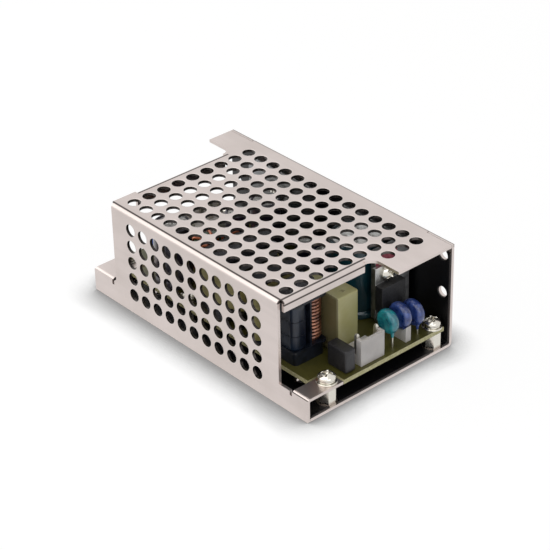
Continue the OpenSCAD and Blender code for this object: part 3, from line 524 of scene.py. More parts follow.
def fitted_screw(at, axis, shank, turn, washers=True):
    """A pan head screw seated at a point: its washers, its head and a plain shank behind it."""
    flat = [(washer_hole, 0), (flat_r - flat_edge, 0), (flat_r, flat_edge), (flat_r, flat_t - flat_edge),
            (flat_r - flat_edge, flat_t), (washer_hole, flat_t), (washer_hole, 0)]
    seat = stack if washers else 0
    parts = [spun(screw_head(head_r, head_h), turn) + np.array([0, 0, seat * mm])]
    parts.append(turned([(0, seat), (shank_r, seat), (shank_r, -shank), (0, -shank)], 32) * mm)
    if washers:
        parts.append(turned(flat, 64) * mm)
        spring = split_washer(washer_hole, spring_r, spring_t)
        parts.append(spun(spring, turn) + np.array([0, 0, (flat_t + 0.02) * mm]))
    return [aimed(part, at, axis) for part in parts]


def seated(node, turns):
    """Screws that point down, one at each solid of the node: head and washers fill its top."""
    parts = []
    for (lo, hi), turn in zip(solids(node), turns):
        at = ((lo[0] + hi[0]) / 2, (lo[1] + hi[1]) / 2, hi[2] - (head_h + stack) * mm)
        parts += fitted_screw(at, (0, 0, 1), (at[2] - lo[2]) / mm, turn)
    return parts


for name, node, turns in (("board_screw_set", "board_screws", (20, 61, 47)),
                          ("tab_screw_set", "tab_screws", (38, 12))):
    build(name, seated(node, turns), [nickel], node)
dress("flange_screws", nickel)

# ---------------------------------------------------------------- headers
# White nylon wafer headers with a locking wall, pressed over square tinned pins. The moulding is
# slightly waxy and its edges are soft, as are those of the small spacer under the first disc capacitor.

nylon = Finish("white_nylon", Roughness=0.42, Subsurface_Weight=0.12, Subsurface_Radius=(0.6, 0.5, 0.4),
               Subsurface_Scale=0.0008)
milky = nylon.noise(160, 3).step(0.3, 0.7)
nylon.set(Base_Color=nylon.blend(milky, colour(204, 199, 196), colour(220, 215, 212)))
nylon.bump(nylon.noise(1600, 2), 0.00002, 0.3)
dress("input_header", nylon, 0.14)
dress("output_header", nylon, 0.14)
dress("capacitor_spacer", nylon, 0.12)

tin = Finish("tinned_wire", Base_Color=colour(208, 204, 194), Metallic=0.95)
tin.set(Roughness=0.24 + tin.noise(1500, 3) * 0.16)


def square_pin(lo, hi):
    """A square rod with a blunt pyramid at its top: square rings that shrink to a point."""
    cx, cy, half = (lo[0] + hi[0]) / 2, (lo[1] + hi[1]) / 2, (hi[0] - lo[0]) / 2
    tip = 0.7 * mm
    rings = [(0, lo[2]), (half, lo[2]), (half, hi[2] - tip), (half * 0.5, hi[2]), (0, hi[2])]
    corners = np.array([(-1, -1), (1, -1), (1, 1), (-1, 1), (-1, -1)])
    return np.stack([np.stack([cx + corners[:, 0] * r, cy + corners[:, 1] * r, np.full(5, h)], -1)
                     for r, h in rings])


for node in ("input_pins", "output_pins"):
    piece = build(node + "_set", [square_pin(*box) for box in solids(node)], [tin], node)

# ---------------------------------------------------------------- fuse
# A radial fuse in a black thermoplastic case that stands on two tinned leads. The case is moulded
# with soft edges, and its lid shows as a fine line near the top.


def outline(hx, hy, r, steps):
    """A closed rectangle with round corners: four quarter arcs of radius r round the inner corners."""
    points = []
    for k, (sx, sy) in enumerate(((1, 1), (-1, 1), (-1, -1), (1, -1))):
        points += arc((sx * (hx - r), sy * (hy - r)), r, 90 * k, 90 * k + 90, steps)
    return np.array(points + points[:1])


def block(lo, hi, r, edge, crown=0.0, steps=5):
    """A moulded box in mm. Rounded rectangles are stacked up Z: each shrinks along a quarter circle of
    radius edge at the two ends, and a crown swells the flanks by sin(pi h) between them."""
    lo, hi = np.array(lo, float), np.array(hi, float)
    half, mid = (hi - lo) / 2, (hi + lo) / 2
    bend = np.radians(np.linspace(0, 90, 5))
    inset = np.concatenate([edge * (1 - np.sin(bend)), np.zeros(9), edge * (1 - np.cos(bend))])
    flank = np.linspace(lo[2] + edge, hi[2] - edge, 11)[1:-1]
    height = np.concatenate([lo[2] + edge * (1 - np.cos(bend)), flank, hi[2] - edge + edge * np.sin(bend)])
    swell = crown * np.sin(np.pi * (height - lo[2]) / (hi[2] - lo[2]))
    rings = [np.column_stack([outline(half[0] - d + s, half[1] - d + s, max(r - d, 0.02), steps) + mid[:2],
                              np.full(4 * (steps + 1) + 1, h)]) for d, s, h in zip(inset, swell, height)]
    ends = [np.tile([*mid[:2], h], (len(rings[0]), 1)) for h in (lo[2], hi[2])]
    return np.stack([ends[0], *rings, ends[1]]) * mm


def tube(path, radius, side, sides=8):
    """A round wire in mm: each point of the path gets a circle, the sum of the cosine and the sine of the
    turn times two directions square to the path, and the ends are closed."""
    path = np.array(path, float)
    ahead = np.gradient(path, axis=0)
    ahead /= np.linalg.norm(ahead, axis=1)[:, None]
    out = np.cross(ahead, np.broadcast_to(np.array(side, float), path.shape))
    out /= np.linalg.norm(out, axis=1)[:, None]
    over = np.cross(ahead, out)
    turn = once_round(sides)
    reach = np.broadcast_to(np.array(radius, float), len(path))[:, None, None]
    spokes = np.cos(turn)[:, None] * out[:, None] + np.sin(turn)[:, None] * over[:, None]
    rings = path[:, None] + reach * spokes
    ends = [np.repeat(path[k][None, None], sides + 1, 1) for k in (0, -1)]
    return np.concatenate([ends[0], rings, ends[1]]) * mm


lid_h, lid_gap, stand_off, lead_r, lead_apart = 1.3, 0.09, 0.4, 0.4, 5.08
fuse_case = Finish("fuse_case")
lo, hi = box_mm("input_fuse")
lid = abs(fuse_case.axes()[2] - (hi[2] - lid_h)) < lid_gap
smudge = (fuse_case.noise(300, 4) > 0.62) * 0.2
fuse_case.set(Base_Color=fuse_case.blend(lid | smudge, colour(36, 35, 38), colour(20, 20, 22)),
              Roughness=0.38 + fuse_case.noise(900, 3) * 0.16)
fuse_case.bump(fuse_case.noise(1400, 2) * 0.3 - lid, 0.00006, 0.7)
fuse_u, fuse_v = (lo[:2] + hi[:2]) / 2
shells = [block(lo + [0, 0, stand_off], hi, r=0.7, edge=0.35)]
for side in (-1, 1):
    lead = [(fuse_u, fuse_v + side * lead_apart / 2, h) for h in (board_top, board_top + 2 * stand_off)]
    shells.append((tube(lead, lead_r, (1, 0, 0)), 1))
piece = build("mains_fuse", shells, [fuse_case, tin], "input_fuse")

# ---------------------------------------------------------------- film capacitor
# The capacitor across the line: a cream plastic box filled with resin, on four stub feet. The box has
# thin soft edges and it has yellowed unevenly, and its left face is darkened with painted shade.

cream_box = Finish("cream_box", Coat_Roughness=0.25, Subsurface_Weight=0.08,
                   Subsurface_Radius=(0.8, 0.6, 0.3), Subsurface_Scale=0.0006)
x, z = cream_box.axes()[::2]
lo, hi = box_mm("film_capacitor")
age = cream_box.noise(120, 4, 0.6).step(0.3, 0.7)
yellowed = cream_box.noise(60, 2, 0.5, (1, 1, 0.45)).step(0.35, 0.65)
cream = cream_box.blend(age, colour(186, 180, 128), colour(200, 194, 150))
cream = cream_box.blend(yellowed * 0.5, cream, colour(160, 156, 84))
fill_rim, side_skin = 0.35, 0.4
spatter = (z > hi[2] - fill_rim) * (cream_box.noise(260, 4, 0.6) > 0.6)
# Painted shade darkens the left face. The spatter at the top rim is resin, mixed to the same dark colour.
shaded_left_face = (x < lo[0] + side_skin) * 0.8
cream_box.set(Base_Color=cream_box.blend(spatter * 0.5 | shaded_left_face, cream, colour(84, 74, 48)),
              Roughness=0.34 + age * 0.12, Coat_Weight=0.25)
cream_box.bump(cream_box.noise(1300, 2) * 0.25 + age * 0.5, 0.00005, 0.6)
foot_in, foot_half, foot_h, raised = 1.5, 0.7, 0.9, 0.6
shells = [block(lo + [0, 0, raised], hi, r=0.7, edge=0.45)]
for u in (lo[0] + foot_in, hi[0] - foot_in):
    for v in (lo[1] + foot_in, hi[1] - foot_in):
        foot_lo = (u - foot_half, v - foot_half, lo[2])
        foot_hi = (u + foot_half, v + foot_half, lo[2] + foot_h)
        shells.append(block(foot_lo, foot_hi, r=0.6, edge=0.1))
piece = build("line_film_capacitor", shells, [cream_box], "film_capacitor")

# ---------------------------------------------------------------- varistor and disc capacitors
# Ceramic discs dipped in epoxy: the coat is thick at the rim, thin over the flats and runs a little way
# down the two tinned leads. The varistor is teal and the two capacitors blue, as is the one that
# bridges the two sides of the board.

lead_feet, least_disc_r = ((-0.5, -2.5), (0.5, 2.5)), 2.5
sunk, dip_run, neck_r, run_end_r, bare_r, covered = 0.6, 1.9, 0.75, 0.36, 0.32, 0.2


def dipped(hub, r, t):
    """A dipped disc facing X with its coated leads, in mm. The half thickness over the radius q is
    t/2 times (1 - q^6)^(1/2), slightly dished in the middle, and the coat on each lead tapers down."""
    q = np.sin(np.linspace(0, np.pi / 2, 15))
    dished = 0.93 + 0.07 * np.clip(q * 1.6, 0, 1) ** 2
    thick = t / 2 * np.sqrt(1 - q ** 6) * dished
    profile = np.concatenate([np.column_stack([q * r, thick]), np.column_stack([q * r, -thick])[-2::-1]])
    shells = [aimed(turned(profile, 48) * mm, np.array(hub) * mm, (1, 0, 0))]
    for du, dv in lead_feet:
        neck = np.array([hub[0] + du, hub[1] + dv, hub[2] - math.sqrt(r * r - dv * dv) + sunk])
        down = np.linspace(0, 1, 8)[:, None] * [0, 0, -dip_run]
        shells.append(tube(neck + down, np.linspace(neck_r, run_end_r, 8), (1, 0, 0)))
        bare = [(neck[0], neck[1], h) for h in np.linspace(neck[2] - dip_run + covered, board_top, 5)]
        shells.append((tube(bare, bare_r, (1, 0, 0)), 1))
    return shells


def dip_coat(name, deep, pale):
    """Glossy epoxy with fine pits, paler where it is thin and deeper where it has run."""
    coat = Finish(name, Coat_Roughness=0.08, Coat_Weight=0.7)
    thin = coat.noise(420, 4, 0.6).step(0.35, 0.72)
    pits = coat.noise(3200, 1)
    coat.set(Base_Color=coat.blend(thin, deep, pale), Roughness=0.26 + thin * 0.14)
    coat.bump(thin * 0.7 + pits * 0.3, 0.00006, 0.6)
    return coat


teal_dip = dip_coat("teal_dip", colour(14, 104, 122), colour(44, 164, 174))
blue_dip = dip_coat("blue_dip", colour(32, 50, 108), colour(70, 98, 176))
for name, node, dip, slot in (("dipped_varistor", "varistor", teal_dip, "teal_coating"),
                              ("dipped_capacitors", "disc_capacitors", blue_dip, "blue_coating"),
                              ("dipped_bridge_capacitor", "safety_capacitor", blue_dip, "blue_coating")):
    shells = []
    for lo, hi in solids(node):
        lo, hi = lo / mm, hi / mm
        r = (hi[1] - lo[1]) / 2
        if r > least_disc_r:
            shells += dipped(((lo[0] + hi[0]) / 2, (lo[1] + hi[1]) / 2, hi[2] - r), r, hi[0] - lo[0])
    piece = build(name, shells, [dip, tin], node)

# ---------------------------------------------------------------- line choke
# A common-mode choke: a closed ferrite core in a dark plastic bobbin with one coil on each leg. The
# left coil is wrapped in dark blue tape, the right one shows its thick enamelled copper turns.

bobbin_plastic = Finish("navy_bobbin")
scuff = bobbin_plastic.noise(500, 4, 0.6).step(0.35, 0.7)
bobbin_plastic.set(Base_Color=bobbin_plastic.blend(scuff, colour(12, 16, 24), colour(24, 30, 42)),
                   Roughness=0.36 + scuff * 0.2)
bobbin_plastic.bump(bobbin_plastic.noise(1600, 2), 0.00002, 0.4)
dress("line_choke_bobbin", bobbin_plastic, 0.15)

ferrite = Finish("sintered_ferrite", Specular_IOR_Level=0.6)
speck = ferrite.noise(2600, 2).step(0.45, 0.7)
ferrite.set(Base_Color=ferrite.blend(speck, colour(46, 46, 52), colour(84, 82, 90)),
            Roughness=0.5 - speck * 0.16)
ferrite.bump(speck * 0.4 + ferrite.noise(500, 3), 0.00006, 0.5)
dress("line_choke_core", ferrite, 0.2)


def taped(name, deep, pale, turn_mm, low):
    """Polyester tape wound in flat turns: each turn's edge shows as a line, and the film is wrinkled
    upright where it was pulled round the corners."""
    tape = Finish(name, Coat_Weight=0.2, Coat_Roughness=0.2)
    z = tape.axes()[2]
    along = ((z - low) / turn_mm + tape.noise(40, 1) * 0.12) % 1.0
    lap = 1 - along.step(0.0, 0.07)
    crease = tape.noise(330, 4, 0.6, (1, 1, 0.22))
    sheen = tape.noise(90, 3, 0.6, (1, 1, 0.6)).step(0.35, 0.68)
    shade = tape.blend(sheen, deep, pale)
    tape.set(Base_Color=tape.blend(lap * 0.6, shade, tuple(c * 0.35 for c in deep)),
             Roughness=0.26 + crease * 0.22)
    tape.bump(crease * 0.8 + along * 0.5 - lap, 0.00016, 0.7)
    return tape


def enamel(name, deep, pale):
    """Enamelled copper: clear lacquer over metal, darker in patches where the lacquer is thick."""
    wire = Finish(name, Metallic=0.75, Coat_Weight=0.6, Coat_Roughness=0.12)
    patch = wire.noise(260, 3, 0.6).step(0.3, 0.7)
    wire.set(Base_Color=wire.blend(patch, deep, pale), Roughness=0.28 + wire.noise(1800, 2) * 0.12)
    wire.bump(wire.noise(900, 2), 0.00003, 0.5)
    return wire


def wound(lo, hi, wire, turns, r):
    """A wire laid turn on turn round a rounded rectangle: the outline repeats while Z climbs evenly. The
    wire is made 2 per cent thin, so that its turns don't touch."""
    half, mid, thinned = (hi - lo) / 2, (hi + lo) / 2, 0.98
    ring = outline(half[0] - wire / 2, half[1] - wire / 2, r, 8)[:-1]
    loop = np.tile(ring, (turns, 1))
    climb = np.linspace(lo[2] + wire / 2, hi[2] - wire / 2, len(loop))
    return tube(np.column_stack([loop + mid[:2], climb]), wire / 2 * thinned, (0, 0, 1))


left_coil, right_coil = [(lo / mm, hi / mm) for lo, hi in solids("line_choke_windings")]
navy_tape = taped("navy_tape", colour(10, 18, 32), colour(28, 42, 60), 5.2, left_coil[0][2])
choke_copper = enamel("choke_copper", colour(70, 38, 28), colour(150, 98, 74))
lining_in = np.array([0.9, 0.9, 0])
piece = build("line_choke_coils",
              [block(*left_coil, r=2.4, edge=0.5, crown=0.12, steps=8),
               (block(right_coil[0] + lining_in, right_coil[1] - lining_in, r=1.6, edge=0.2), 1),
               (wound(*right_coil, wire=1.3, turns=12, r=2.2), 1)],
              [navy_tape, choke_copper], "line_choke_windings")

# ---------------------------------------------------------------- filter inductor
# A second inductor on its side behind the choke: a coil under yellow polyester tape between two dark
# plastic cheeks that carry its pins.

yellow_tape = taped("yellow_tape", colour(158, 148, 88), colour(196, 188, 132), 4.4, 0.0)
lo, hi = box_mm("filter_inductor")
cheek_t, coil_in = 1.2, np.array([0.5, 0.4, 1.0])
cheeks = [(block((lo[0], lo[1], h), (hi[0], hi[1], h + cheek_t), r=1.0, edge=0.25), 1)
          for h in (lo[2], hi[2] - cheek_t)]
piece = build("filter_inductor_wound",
              [block(lo + coil_in, hi - coil_in, r=2.4, edge=0.3, crown=-0.12, steps=8), *cheeks],
              [yellow_tape, bobbin_plastic], "filter_inductor")

# ---------------------------------------------------------------- electrolytic capacitors
# Aluminium cans in shrink sleeves. The sleeve is drawn in over the crimp groove and curls over the rim
# of the lid, where the bare aluminium is scored with a cross that bursts open if the can overheats.

stripe_columns, lid_low = 10, 0.42


def lid_of(r):
    """The bare lid in mm: a shallow dish with two crossed grooves. A point is lowered where it lies
    within a groove's half width of a diagonal, and the groove fades out towards its ends."""
    half_groove, edge, deep, dish_deep, reach, fade = 0.3, 0.16, 0.32, 0.12, 0.72 * r, 0.5
    q = np.linspace(0, r, 30)
    turn = once_round(96)
    px, py = q[:, None] * np.cos(turn), q[:, None] * np.sin(turn)
    near = np.minimum(abs(px + py), abs(px - py)) / math.sqrt(2)
    groove = np.clip((half_groove - near) / edge, 0, 1) * np.clip((reach - q[:, None]) / fade, 0, 1)
    dish = dish_deep * ((q[:, None] / r) ** 4 - 1)
    return np.stack([px, py, dish - deep * groove], -1)


def can(lo, hi):
    """Sleeve, lid and stripe of one can in mm. The sleeve's profile runs up from the board, in over the
    crimp groove as sin^2, up the side, round the rim and down to the lid. Its first columns are the
    pale stripe."""
    r, h = (hi[0] - lo[0]) / 2, hi[2] - lo[2]
    rim, base, heel, shoulder, curl = max(0.7, r * 0.12), 0.3, 0.7, 0.6, 0.35
    groove, groove_deep, groove_h, groove_end = 2.2, 0.55, 1.6, 0.2
    crimp = [(r - groove_deep * math.sin(math.pi * t) ** 2, groove + groove_h * t)
             for t in np.linspace(0, 1, 9)[1:-1]]
    profile = [(0, base), (r - heel - shoulder, base), *arc((r - heel, base + heel), heel, -90, 0),
               (r, groove - groove_end), *crimp, (r, groove + groove_h + groove_end), (r, h / 2),
               (r, h - shoulder - 0.1),
               *arc((r - shoulder, h - shoulder), shoulder, 0, 90, 5),
               *arc((r - shoulder, h - curl), curl, 90, 180, 3), (r - rim - 0.25, h - lid_low)]
    foot = np.array([(lo[0] + hi[0]) / 2, (lo[1] + hi[1]) / 2, lo[2]])
    sleeve = (turned(profile, 64) + foot) * mm
    lid = (lid_of(r - rim - 0.2) + [0, 0, h - lid_low] + foot) * mm
    return [(sleeve[:, stripe_columns:], 0), (lid, 1), (sleeve[:, :stripe_columns + 1], 2)]


def sleeve_finish(name, deep, pale):
    """Shrink film: glossy, with fine upright draw lines and faint clouding."""
    film = Finish(name, Coat_Weight=0.4, Coat_Roughness=0.1)
    drawn = film.noise(700, 3, 0.5, (1, 1, 0.06))
    cloud = film.noise(110, 3).step(0.3, 0.7)
    film.set(Base_Color=film.blend(cloud, deep, pale), Roughness=0.24 + drawn * 0.14)
    film.bump(drawn, 0.00003, 0.5)
    return film


lid_metal = Finish("can_aluminium", Metallic=1.0)
matt = lid_metal.noise(1500, 3)
lid_metal.set(Base_Color=lid_metal.blend(matt.step(0.3, 0.7), colour(184, 184, 182), colour(214, 214, 212)),
              Roughness=0.3 + matt * 0.15)
stripe_film = sleeve_finish("stripe_film", colour(150, 156, 158), colour(176, 180, 180))
for name, node, deep, pale, slot in (
        ("reservoir_can", "bulk_capacitor", colour(6, 44, 54), colour(14, 66, 78), "dark_sleeve"),
        ("output_cans", "output_capacitors", colour(40, 36, 48), colour(62, 56, 72), "grey_sleeve"),
        ("small_cans", "small_capacitors", colour(18, 22, 40), colour(32, 38, 62), "grey_sleeve")):
    shells = [shell for lo, hi in solids(node) for shell in can(lo / mm, hi / mm)]
    piece = build(name, shells, [sleeve_finish(name + "_sleeve", deep, pale), lid_metal, stripe_film], node)

# ---------------------------------------------------------------- power devices and heat sinks
# Two three-lead devices bolted to 2 mm aluminium: the transistor over a pink silicone pad on the angle
# behind the header, the output rectifier flat on the plate at the right edge.

aluminium = Finish("mill_aluminium", Metallic=0.95)
drag = aluminium.noise(240, 5, 0.65, (0.12, 0.12, 1))
dull = aluminium.noise(60, 3).step(0.3, 0.7)
aluminium.set(Base_Color=aluminium.blend(drag.step(0.3, 0.7), colour(138, 140, 142), colour(176, 177, 178)),
              Roughness=0.34 + drag * 0.14 + dull * 0.08)
aluminium.bump(drag, 0.00003, 0.6)
dress("primary_heatsink", aluminium, 0.2)
dress("output_heatsink", aluminium, 0.2)

silicone = Finish("pink_silicone", Sheen_Weight=0.15)
glass_cloth = silicone.noise(2600, 2)
threads = glass_cloth.step(0.35, 0.65)
silicone.set(Base_Color=silicone.blend(threads, colour(140, 58, 74), colour(172, 84, 100)),
             Roughness=0.62 + glass_cloth * 0.1)
silicone.bump(glass_cloth, 0.00005, 0.6)
dress("thermal_pad", silicone)


def device(name, axis, plate_face, body_low):
    """Black epoxy on a tinned copper frame: the frame's plate is all that lies past plate_face along the
    axis, and the leads are all that hangs below the body."""
    finish = Finish(name)
    place = finish.axes()
    metal = (place[axis] > plate_face) | (place[2] < body_low)
    grit = finish.noise(1700, 3)
    plate = finish.blend(finish.noise(300, 3).step(0.3, 0.7), colour(176, 176, 174), colour(206, 206, 204))
    epoxy = finish.blend(grit.step(0.4, 0.7), colour(24, 24, 26), colour(44, 44, 46))
    finish.set(Base_Color=finish.blend(metal, epoxy, plate), Metallic=metal * 0.95,
               Roughness=0.5 - metal * 0.22 + grit * 0.1)
    finish.bump(grit * (1 - metal * 0.8), 0.00004, 0.6)
    return finish


plate_t, lead_drop = 1.32, 6.75
for node, axis, label in (("switching_transistor", 1, "transistor_package"),
                          ("output_rectifier", 0, "rectifier_package")):
    lo, hi = box_mm(node)
    dress(node, device(label, axis, hi[axis] - plate_t, lo[2] + lead_drop), 0.18)

for node, axis in (("transistor_screw", 1), ("rectifier_screw", 0)):
    lo, hi = box_mm(node)
    at = (lo + hi) / 2
    at[axis] = lo[axis] + head_h
    out = [0, 0, 0]
    out[axis] = -1
    screw = fitted_screw(at * mm, out, hi[axis] - at[axis], turn=33, washers=False)
    piece = build(node + "_head", screw, [nickel], node)

# ---------------------------------------------------------------- transformer
# A ferrite core through a black pin bobbin. The coil is closed with yellow tape, and one more band of
# tape goes round the core to hold its halves together.

phenolic = Finish("black_phenolic", Coat_Weight=0.2, Coat_Roughness=0.3)
gloss = phenolic.noise(450, 4, 0.6).step(0.3, 0.7)
phenolic.set(Base_Color=phenolic.blend(gloss, colour(24, 24, 26), colour(40, 39, 40)),
             Roughness=0.34 + gloss * 0.16)
phenolic.bump(phenolic.noise(1500, 2), 0.00002, 0.4)
dress("transformer_core", ferrite, 0.25)
dress("transformer_bobbin", phenolic, 0.15)

widest = max(solids("transformer_winding"), key=lambda box: box[1][0] - box[0][0])
band_lo, band_hi = widest[0] / mm, widest[1] / mm
post_lo, post_hi = box_mm("transformer_bobbin")
tape_in, coil_over = (0.1, 0.2), 2
coil_lo = np.append(post_lo[:2] + tape_in, band_lo[2] - coil_over)
coil_hi = np.append(post_hi[:2] - tape_in, band_hi[2] + coil_over)


def tape_wall(lo, hi, r, thick, edge):
    """A closed wall of tape in mm: the outer outline up, over the top edge, down the inner outline and
    back, so the section is a tall thin rectangle with a soft outer edge."""
    half, mid = (hi - lo) / 2, (hi + lo) / 2
    section = [(0.0, lo[2] + edge), (0.0, hi[2] - edge), (edge, hi[2]), (thick, hi[2]), (thick, lo[2]),
               (edge, lo[2]), (0.0, lo[2] + edge)]
    rings = []
    for inset, height in section:
        ring = outline(half[0] - inset, half[1] - inset, r - inset, 8) + mid[:2]
        rings.append(np.column_stack([ring, np.full(len(ring), height)]))
    return np.stack(rings) * mm


coil_tape = taped("coil_tape", colour(162, 152, 88), colour(200, 190, 132), 3.1, 0.7)
piece = build("transformer_coil",
              [tape_wall(coil_lo, coil_hi, r=3.4, thick=5.0, edge=0.2),
               tape_wall(band_lo, band_hi, r=5.4, thick=0.25, edge=0.08)],
              [coil_tape], "transformer_winding")

# ---------------------------------------------------------------- output choke
# A powder core ring under hard green paint, lying on the board with thick enamelled wire wound round
# it. The two ends of the wire go down through the board.

ring_paint = Finish("ring_paint", Coat_Weight=0.3, Coat_Roughness=0.2)
peel = ring_paint.noise(900, 3)
worn = ring_paint.noise(180, 4, 0.6).step(0.5, 0.75)
ring_paint.set(Base_Color=ring_paint.blend(worn, colour(40, 78, 52), colour(66, 104, 72)),
               Roughness=0.34 + peel * 0.16)
ring_paint.bump(peel + worn * 0.4, 0.00006, 0.6)
dress("output_choke_core", ring_paint)

wire, turns, first_turn, sweep, ring_w, side_gap, flat_gap = 1.0, 14, -60, 330, 4.0, 0.1, 0.05
lo, hi = box_mm("output_choke_core")
ring_mid, ring_r = (lo + hi) / 2, (hi[0] - lo[0]) / 2
# The wire's centre line goes evenly round the ring while it goes round its section. There it keeps to
# |a|^6 + |b|^6 = 1, a square with round corners that clears the ring by half the wire and a gap.
share = np.linspace(0, 1, turns * 40 + 1)
bearing = np.radians(first_turn + sweep * (0.5 + share * (turns - 1)) / turns)
loop = share * (turns - 1) * 2 * np.pi
squared = (abs(np.cos(loop)) ** 6 + abs(np.sin(loop)) ** 6) ** (-1 / 6)
wide, tall = (ring_w + wire) / 2 + side_gap, (hi[2] - lo[2] + wire) / 2 + flat_gap
reach = ring_r - ring_w / 2 + wide * np.cos(loop) * squared
coil = np.column_stack([reach * np.cos(bearing), reach * np.sin(bearing), tall * np.sin(loop) * squared])
coil += ring_mid
onward = np.column_stack([-np.sin(bearing), np.cos(bearing), 0 * bearing])
shells = [tube(coil, wire / 2, onward, 10)]
for u, v in (coil[0][:2], coil[-1][:2]):
    down = [(u, v, h) for h in np.linspace(ring_mid[2], board_top, 6)]
    shells.append(tube(down, wire / 2, (1, 0, 0), 10))
output_copper = enamel("output_copper", colour(138, 66, 40), colour(206, 122, 84))
piece = build("output_choke_coil", shells, [output_copper], "output_choke_winding")

# ---------------------------------------------------------------- bridge rectifier and chips
# Parts moulded in epoxy round tinned legs: the black bridge rectifier stands clear of the board on its
# four leads, and the control chip and the white optocoupler sit between two rows of legs.

leg_out, leg_under, bridge_lead = 0.66, 0.6, 2.98


def between_legs(y, z, lo, hi):
    """1 on a body that stands between two rows of legs, clear of the board."""
    return (y > lo[1] + leg_out) & (y < hi[1] - leg_out) & (z > lo[2] + leg_under)


def over_leads(y, z, lo, hi):
    """1 on a body that stands on top of its leads."""
    return z > lo[2] + bridge_lead


def moulded_on_legs(name, node, body, pale, deep):
    """Epoxy with tinned legs: body gives 1 on the moulding and 0 on the legs. A round dimple marks the
    first leg."""
    lo, hi = box_mm(node)
    finish = Finish(name)
    x, y, z = finish.axes()
    moulded = body(y, z, lo, hi)
    grit = finish.noise(1600, 3)
    dimple = (span(x - lo[0] - 1.3, y - lo[1] - 1.6) < 0.5) * (z > hi[2] - 0.1)
    epoxy = finish.blend(grit.step(0.35, 0.7), deep, pale)
    finish.set(Base_Color=finish.blend(moulded, colour(190, 188, 182), epoxy),
               Metallic=(1 - moulded) * 0.95, Roughness=0.3 + moulded * 0.2 + grit * 0.1)
    finish.bump(grit * moulded * 0.4 - dimple * 3, 0.00006, 0.6)
    dress(node, finish, 0.12)


moulded_on_legs("chip_epoxy", "control_chip", between_legs, colour(46, 46, 48), colour(26, 26, 28))
moulded_on_legs("opto_epoxy", "optocoupler", between_legs, colour(212, 208, 196), colour(190, 186, 172))
moulded_on_legs("bridge_epoxy", "bridge_rectifier", over_leads, colour(42, 42, 44), colour(24, 24, 26))

# ---------------------------------------------------------------- resistors
# Carbon film resistors laid flat on the board. Blue-grey lacquer covers the ceramic rod and its two end
# caps, four painted rings give the value, and the tinned leads are bent down into the board.

lacquer = Finish("resistor_lacquer", Coat_Weight=0.5, Coat_Roughness=0.12)
uneven = lacquer.noise(700, 3).step(0.3, 0.7)
lacquer.set(Base_Color=lacquer.blend(uneven, colour(118, 148, 172), colour(150, 176, 196)),
            Roughness=0.3 + uneven * 0.12)
lacquer.bump(uneven, 0.00004, 0.5)
ring_paints = []
for k, ink in enumerate(((120, 72, 40), (40, 40, 40), (186, 60, 46), (190, 150, 62))):
    shade = colour(*ink)
    paint = Finish("resistor_ring_%d" % k, Roughness=0.34, Coat_Weight=0.5)
    mottle = paint.noise(900, 2).step(0.3, 0.7)
    paint.set(Base_Color=paint.blend(mottle, shade, tuple(c * 1.25 for c in shade)))
    ring_paints.append(paint)
rod_r, cap_swell, cap_at, cap_w, shoulder, end_len = 0.92, 0.24, 2.2, 0.55, 2.45, 0.62
axis_up, bend_at, bend_r, wire_r = 1.15, 3.9, 0.5, 0.3
ring_rows, ring_width = (10, 16, 22, 33), 3


def resistor_skin():
    """The lacquered body about Z: the rod's radius, plus a bell curve e^-(d^2) round the middle of each
    end cap, drawn in past the shoulder by the square root of 1 - t^2, as a quarter of an ellipse."""
    tip = np.linspace(2.5, 3.05, 7)
    along = np.concatenate([-tip[::-1], np.linspace(-2.4, 2.4, 33), tip])
    out = abs(along)
    r = rod_r + cap_swell * np.exp(-((out - cap_at) / cap_w) ** 2)
    end = np.sqrt(np.clip(1 - ((out - shoulder) / end_len) ** 2, 0, 1))
    return turned(np.column_stack([np.where(out > shoulder, r * end, r), along]), 24) * mm


shells = []
for lo, hi in solids("resistors"):
    u, v, w = (lo[0] + hi[0]) / 2 / mm, (lo[1] + hi[1]) / 2 / mm, lo[2] / mm
    skin = aimed(resistor_skin(), np.array([u, v, w + axis_up]) * mm, (1, 0, 0))
    first = 0
    for k, row in enumerate(ring_rows):
        shells += [(skin[first:row + 1], 0), (skin[row:row + ring_width + 1], 1 + k)]
        first = row + ring_width
    shells.append((skin[first:], 0))
    for side in (-1, 1):
        path = [(2.9, axis_up), (3.5, axis_up), *arc((bend_at, axis_up - bend_r), bend_r, 90, 0, 4),
                (bend_at + bend_r, 0.3), (bend_at + bend_r, 0.0)]
        shells.append((tube([(u + side * d, v, w + h) for d, h in path], wire_r, (0, 1, 0)), 5))
piece = build("film_resistors", shells, [lacquer, *ring_paints, tin], "resistors")

# ---------------------------------------------------------------- voltage trimmer
# A blue plastic potentiometer that sets the output voltage. A cream rotor, turned with a screwdriver,
# is set in the top of its moulded body.

rotor_r, rotor_up = 1.85, 3.95
trimmer_blue = Finish("trimmer_moulding")
x, y, z = trimmer_blue.axes()
lo, hi = box_mm("voltage_trimmer")
mid = (lo + hi) / 2
rotor = (span(x - mid[0], y - mid[1]) < rotor_r) & (z > lo[2] + rotor_up)
grit = trimmer_blue.noise(1500, 3)
body_blue = trimmer_blue.blend(grit.step(0.35, 0.7), colour(24, 56, 124), colour(44, 86, 160))
trimmer_blue.set(Base_Color=trimmer_blue.blend(rotor, body_blue, colour(206, 200, 186)),
                 Roughness=0.42 + grit * 0.14)
trimmer_blue.bump(grit, 0.00003, 0.5)
dress("voltage_trimmer", trimmer_blue, 0.15)

# ---------------------------------------------------------------- indicator lamp
# A 3 mm lamp cast in green epoxy: a flange at the foot, a straight barrel and a round dome, paler in the
# middle, where the chip sits in its bright cup.

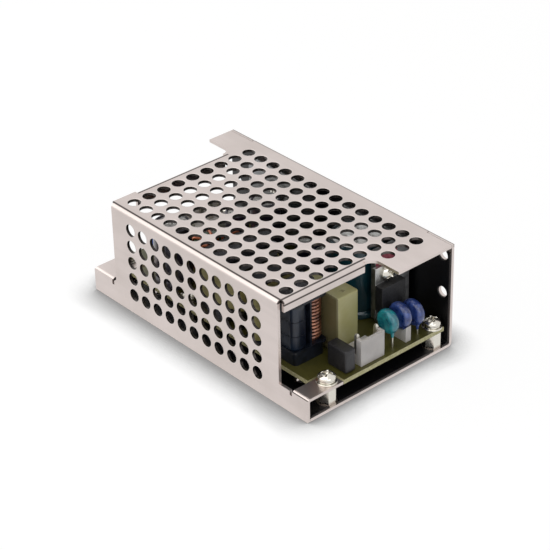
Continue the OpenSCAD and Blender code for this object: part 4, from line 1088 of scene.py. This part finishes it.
flange_w, flange_t, flange_soft, barrel_top = 0.4, 1.0, 0.1, 4.0
lens = Finish("green_lens", Coat_Weight=0.6, Coat_Roughness=0.06, Subsurface_Weight=0.35,
              Subsurface_Radius=(0.3, 1.0, 0.4), Subsurface_Scale=0.001)
x, y = lens.axes()[:2]
lo, hi = box_mm("indicator_led")
mid, r = (lo + hi) / 2, (hi[0] - lo[0]) / 2
off_centre = span(x - mid[0], y - mid[1]).step(0.2, 1.2)
lens.set(Base_Color=lens.blend(off_centre, colour(150, 214, 140), colour(86, 170, 96)),
         Roughness=0.16 + lens.noise(800, 2) * 0.1)
lens.bump(lens.noise(500, 2), 0.00002, 0.3)
barrel_r = r - flange_w
dome = [(0, 0), (r - flange_soft, 0), (r, flange_soft), (r, flange_t - flange_soft),
        (r - flange_soft, flange_t), (barrel_r, flange_t), (barrel_r, barrel_top),
        *arc((0, barrel_top), barrel_r, 0, 90, 8)[1:-1], (0, barrel_top + barrel_r)]
bulb = (turned(dome, 40) + [mid[0], mid[1], lo[2]]) * mm
piece = build("indicator_lamp", [bulb], [lens], "indicator_led")

# ---------------------------------------------------------------- wire links
# Bare tinned wire links that cross the tracks of the single-sided board. Each is bent down at both
# ends and soldered below.

link_r, link_bend = 0.3, 0.35


def wire_link(start, along, length):
    """A link in mm from a point on the board: up, round a quarter circle, along, and down again."""
    up = [(0, 0), (0, link_bend - 0.1), *arc((link_bend, link_bend), link_bend, 180, 90, 4)]
    route = up + [(length - d, h) for d, h in reversed(up)]
    path = [start + along * d + [0, 0, h] for d, h in route]
    return tube(path, link_r, along[[1, 0, 2]])


shells = []
for u, v, length, along in ((46.6, 44.5, 7.5, (0, 1, 0)), (20.5, 62.0, 7.6, (1, 0, 0)),
                            (3.0, 64.5, 6.0, (0, 1, 0)), (15.5, 88.5, 7.5, (1, 0, 0)),
                            (33.6, 88.9, 5.0, (1, 0, 0))):
    start = np.array([board_lo[0] + u, board_lo[1] + v, board_top])
    shells.append(wire_link(start, np.array(along, float), length))
piece = build("wire_links", shells, [tin])
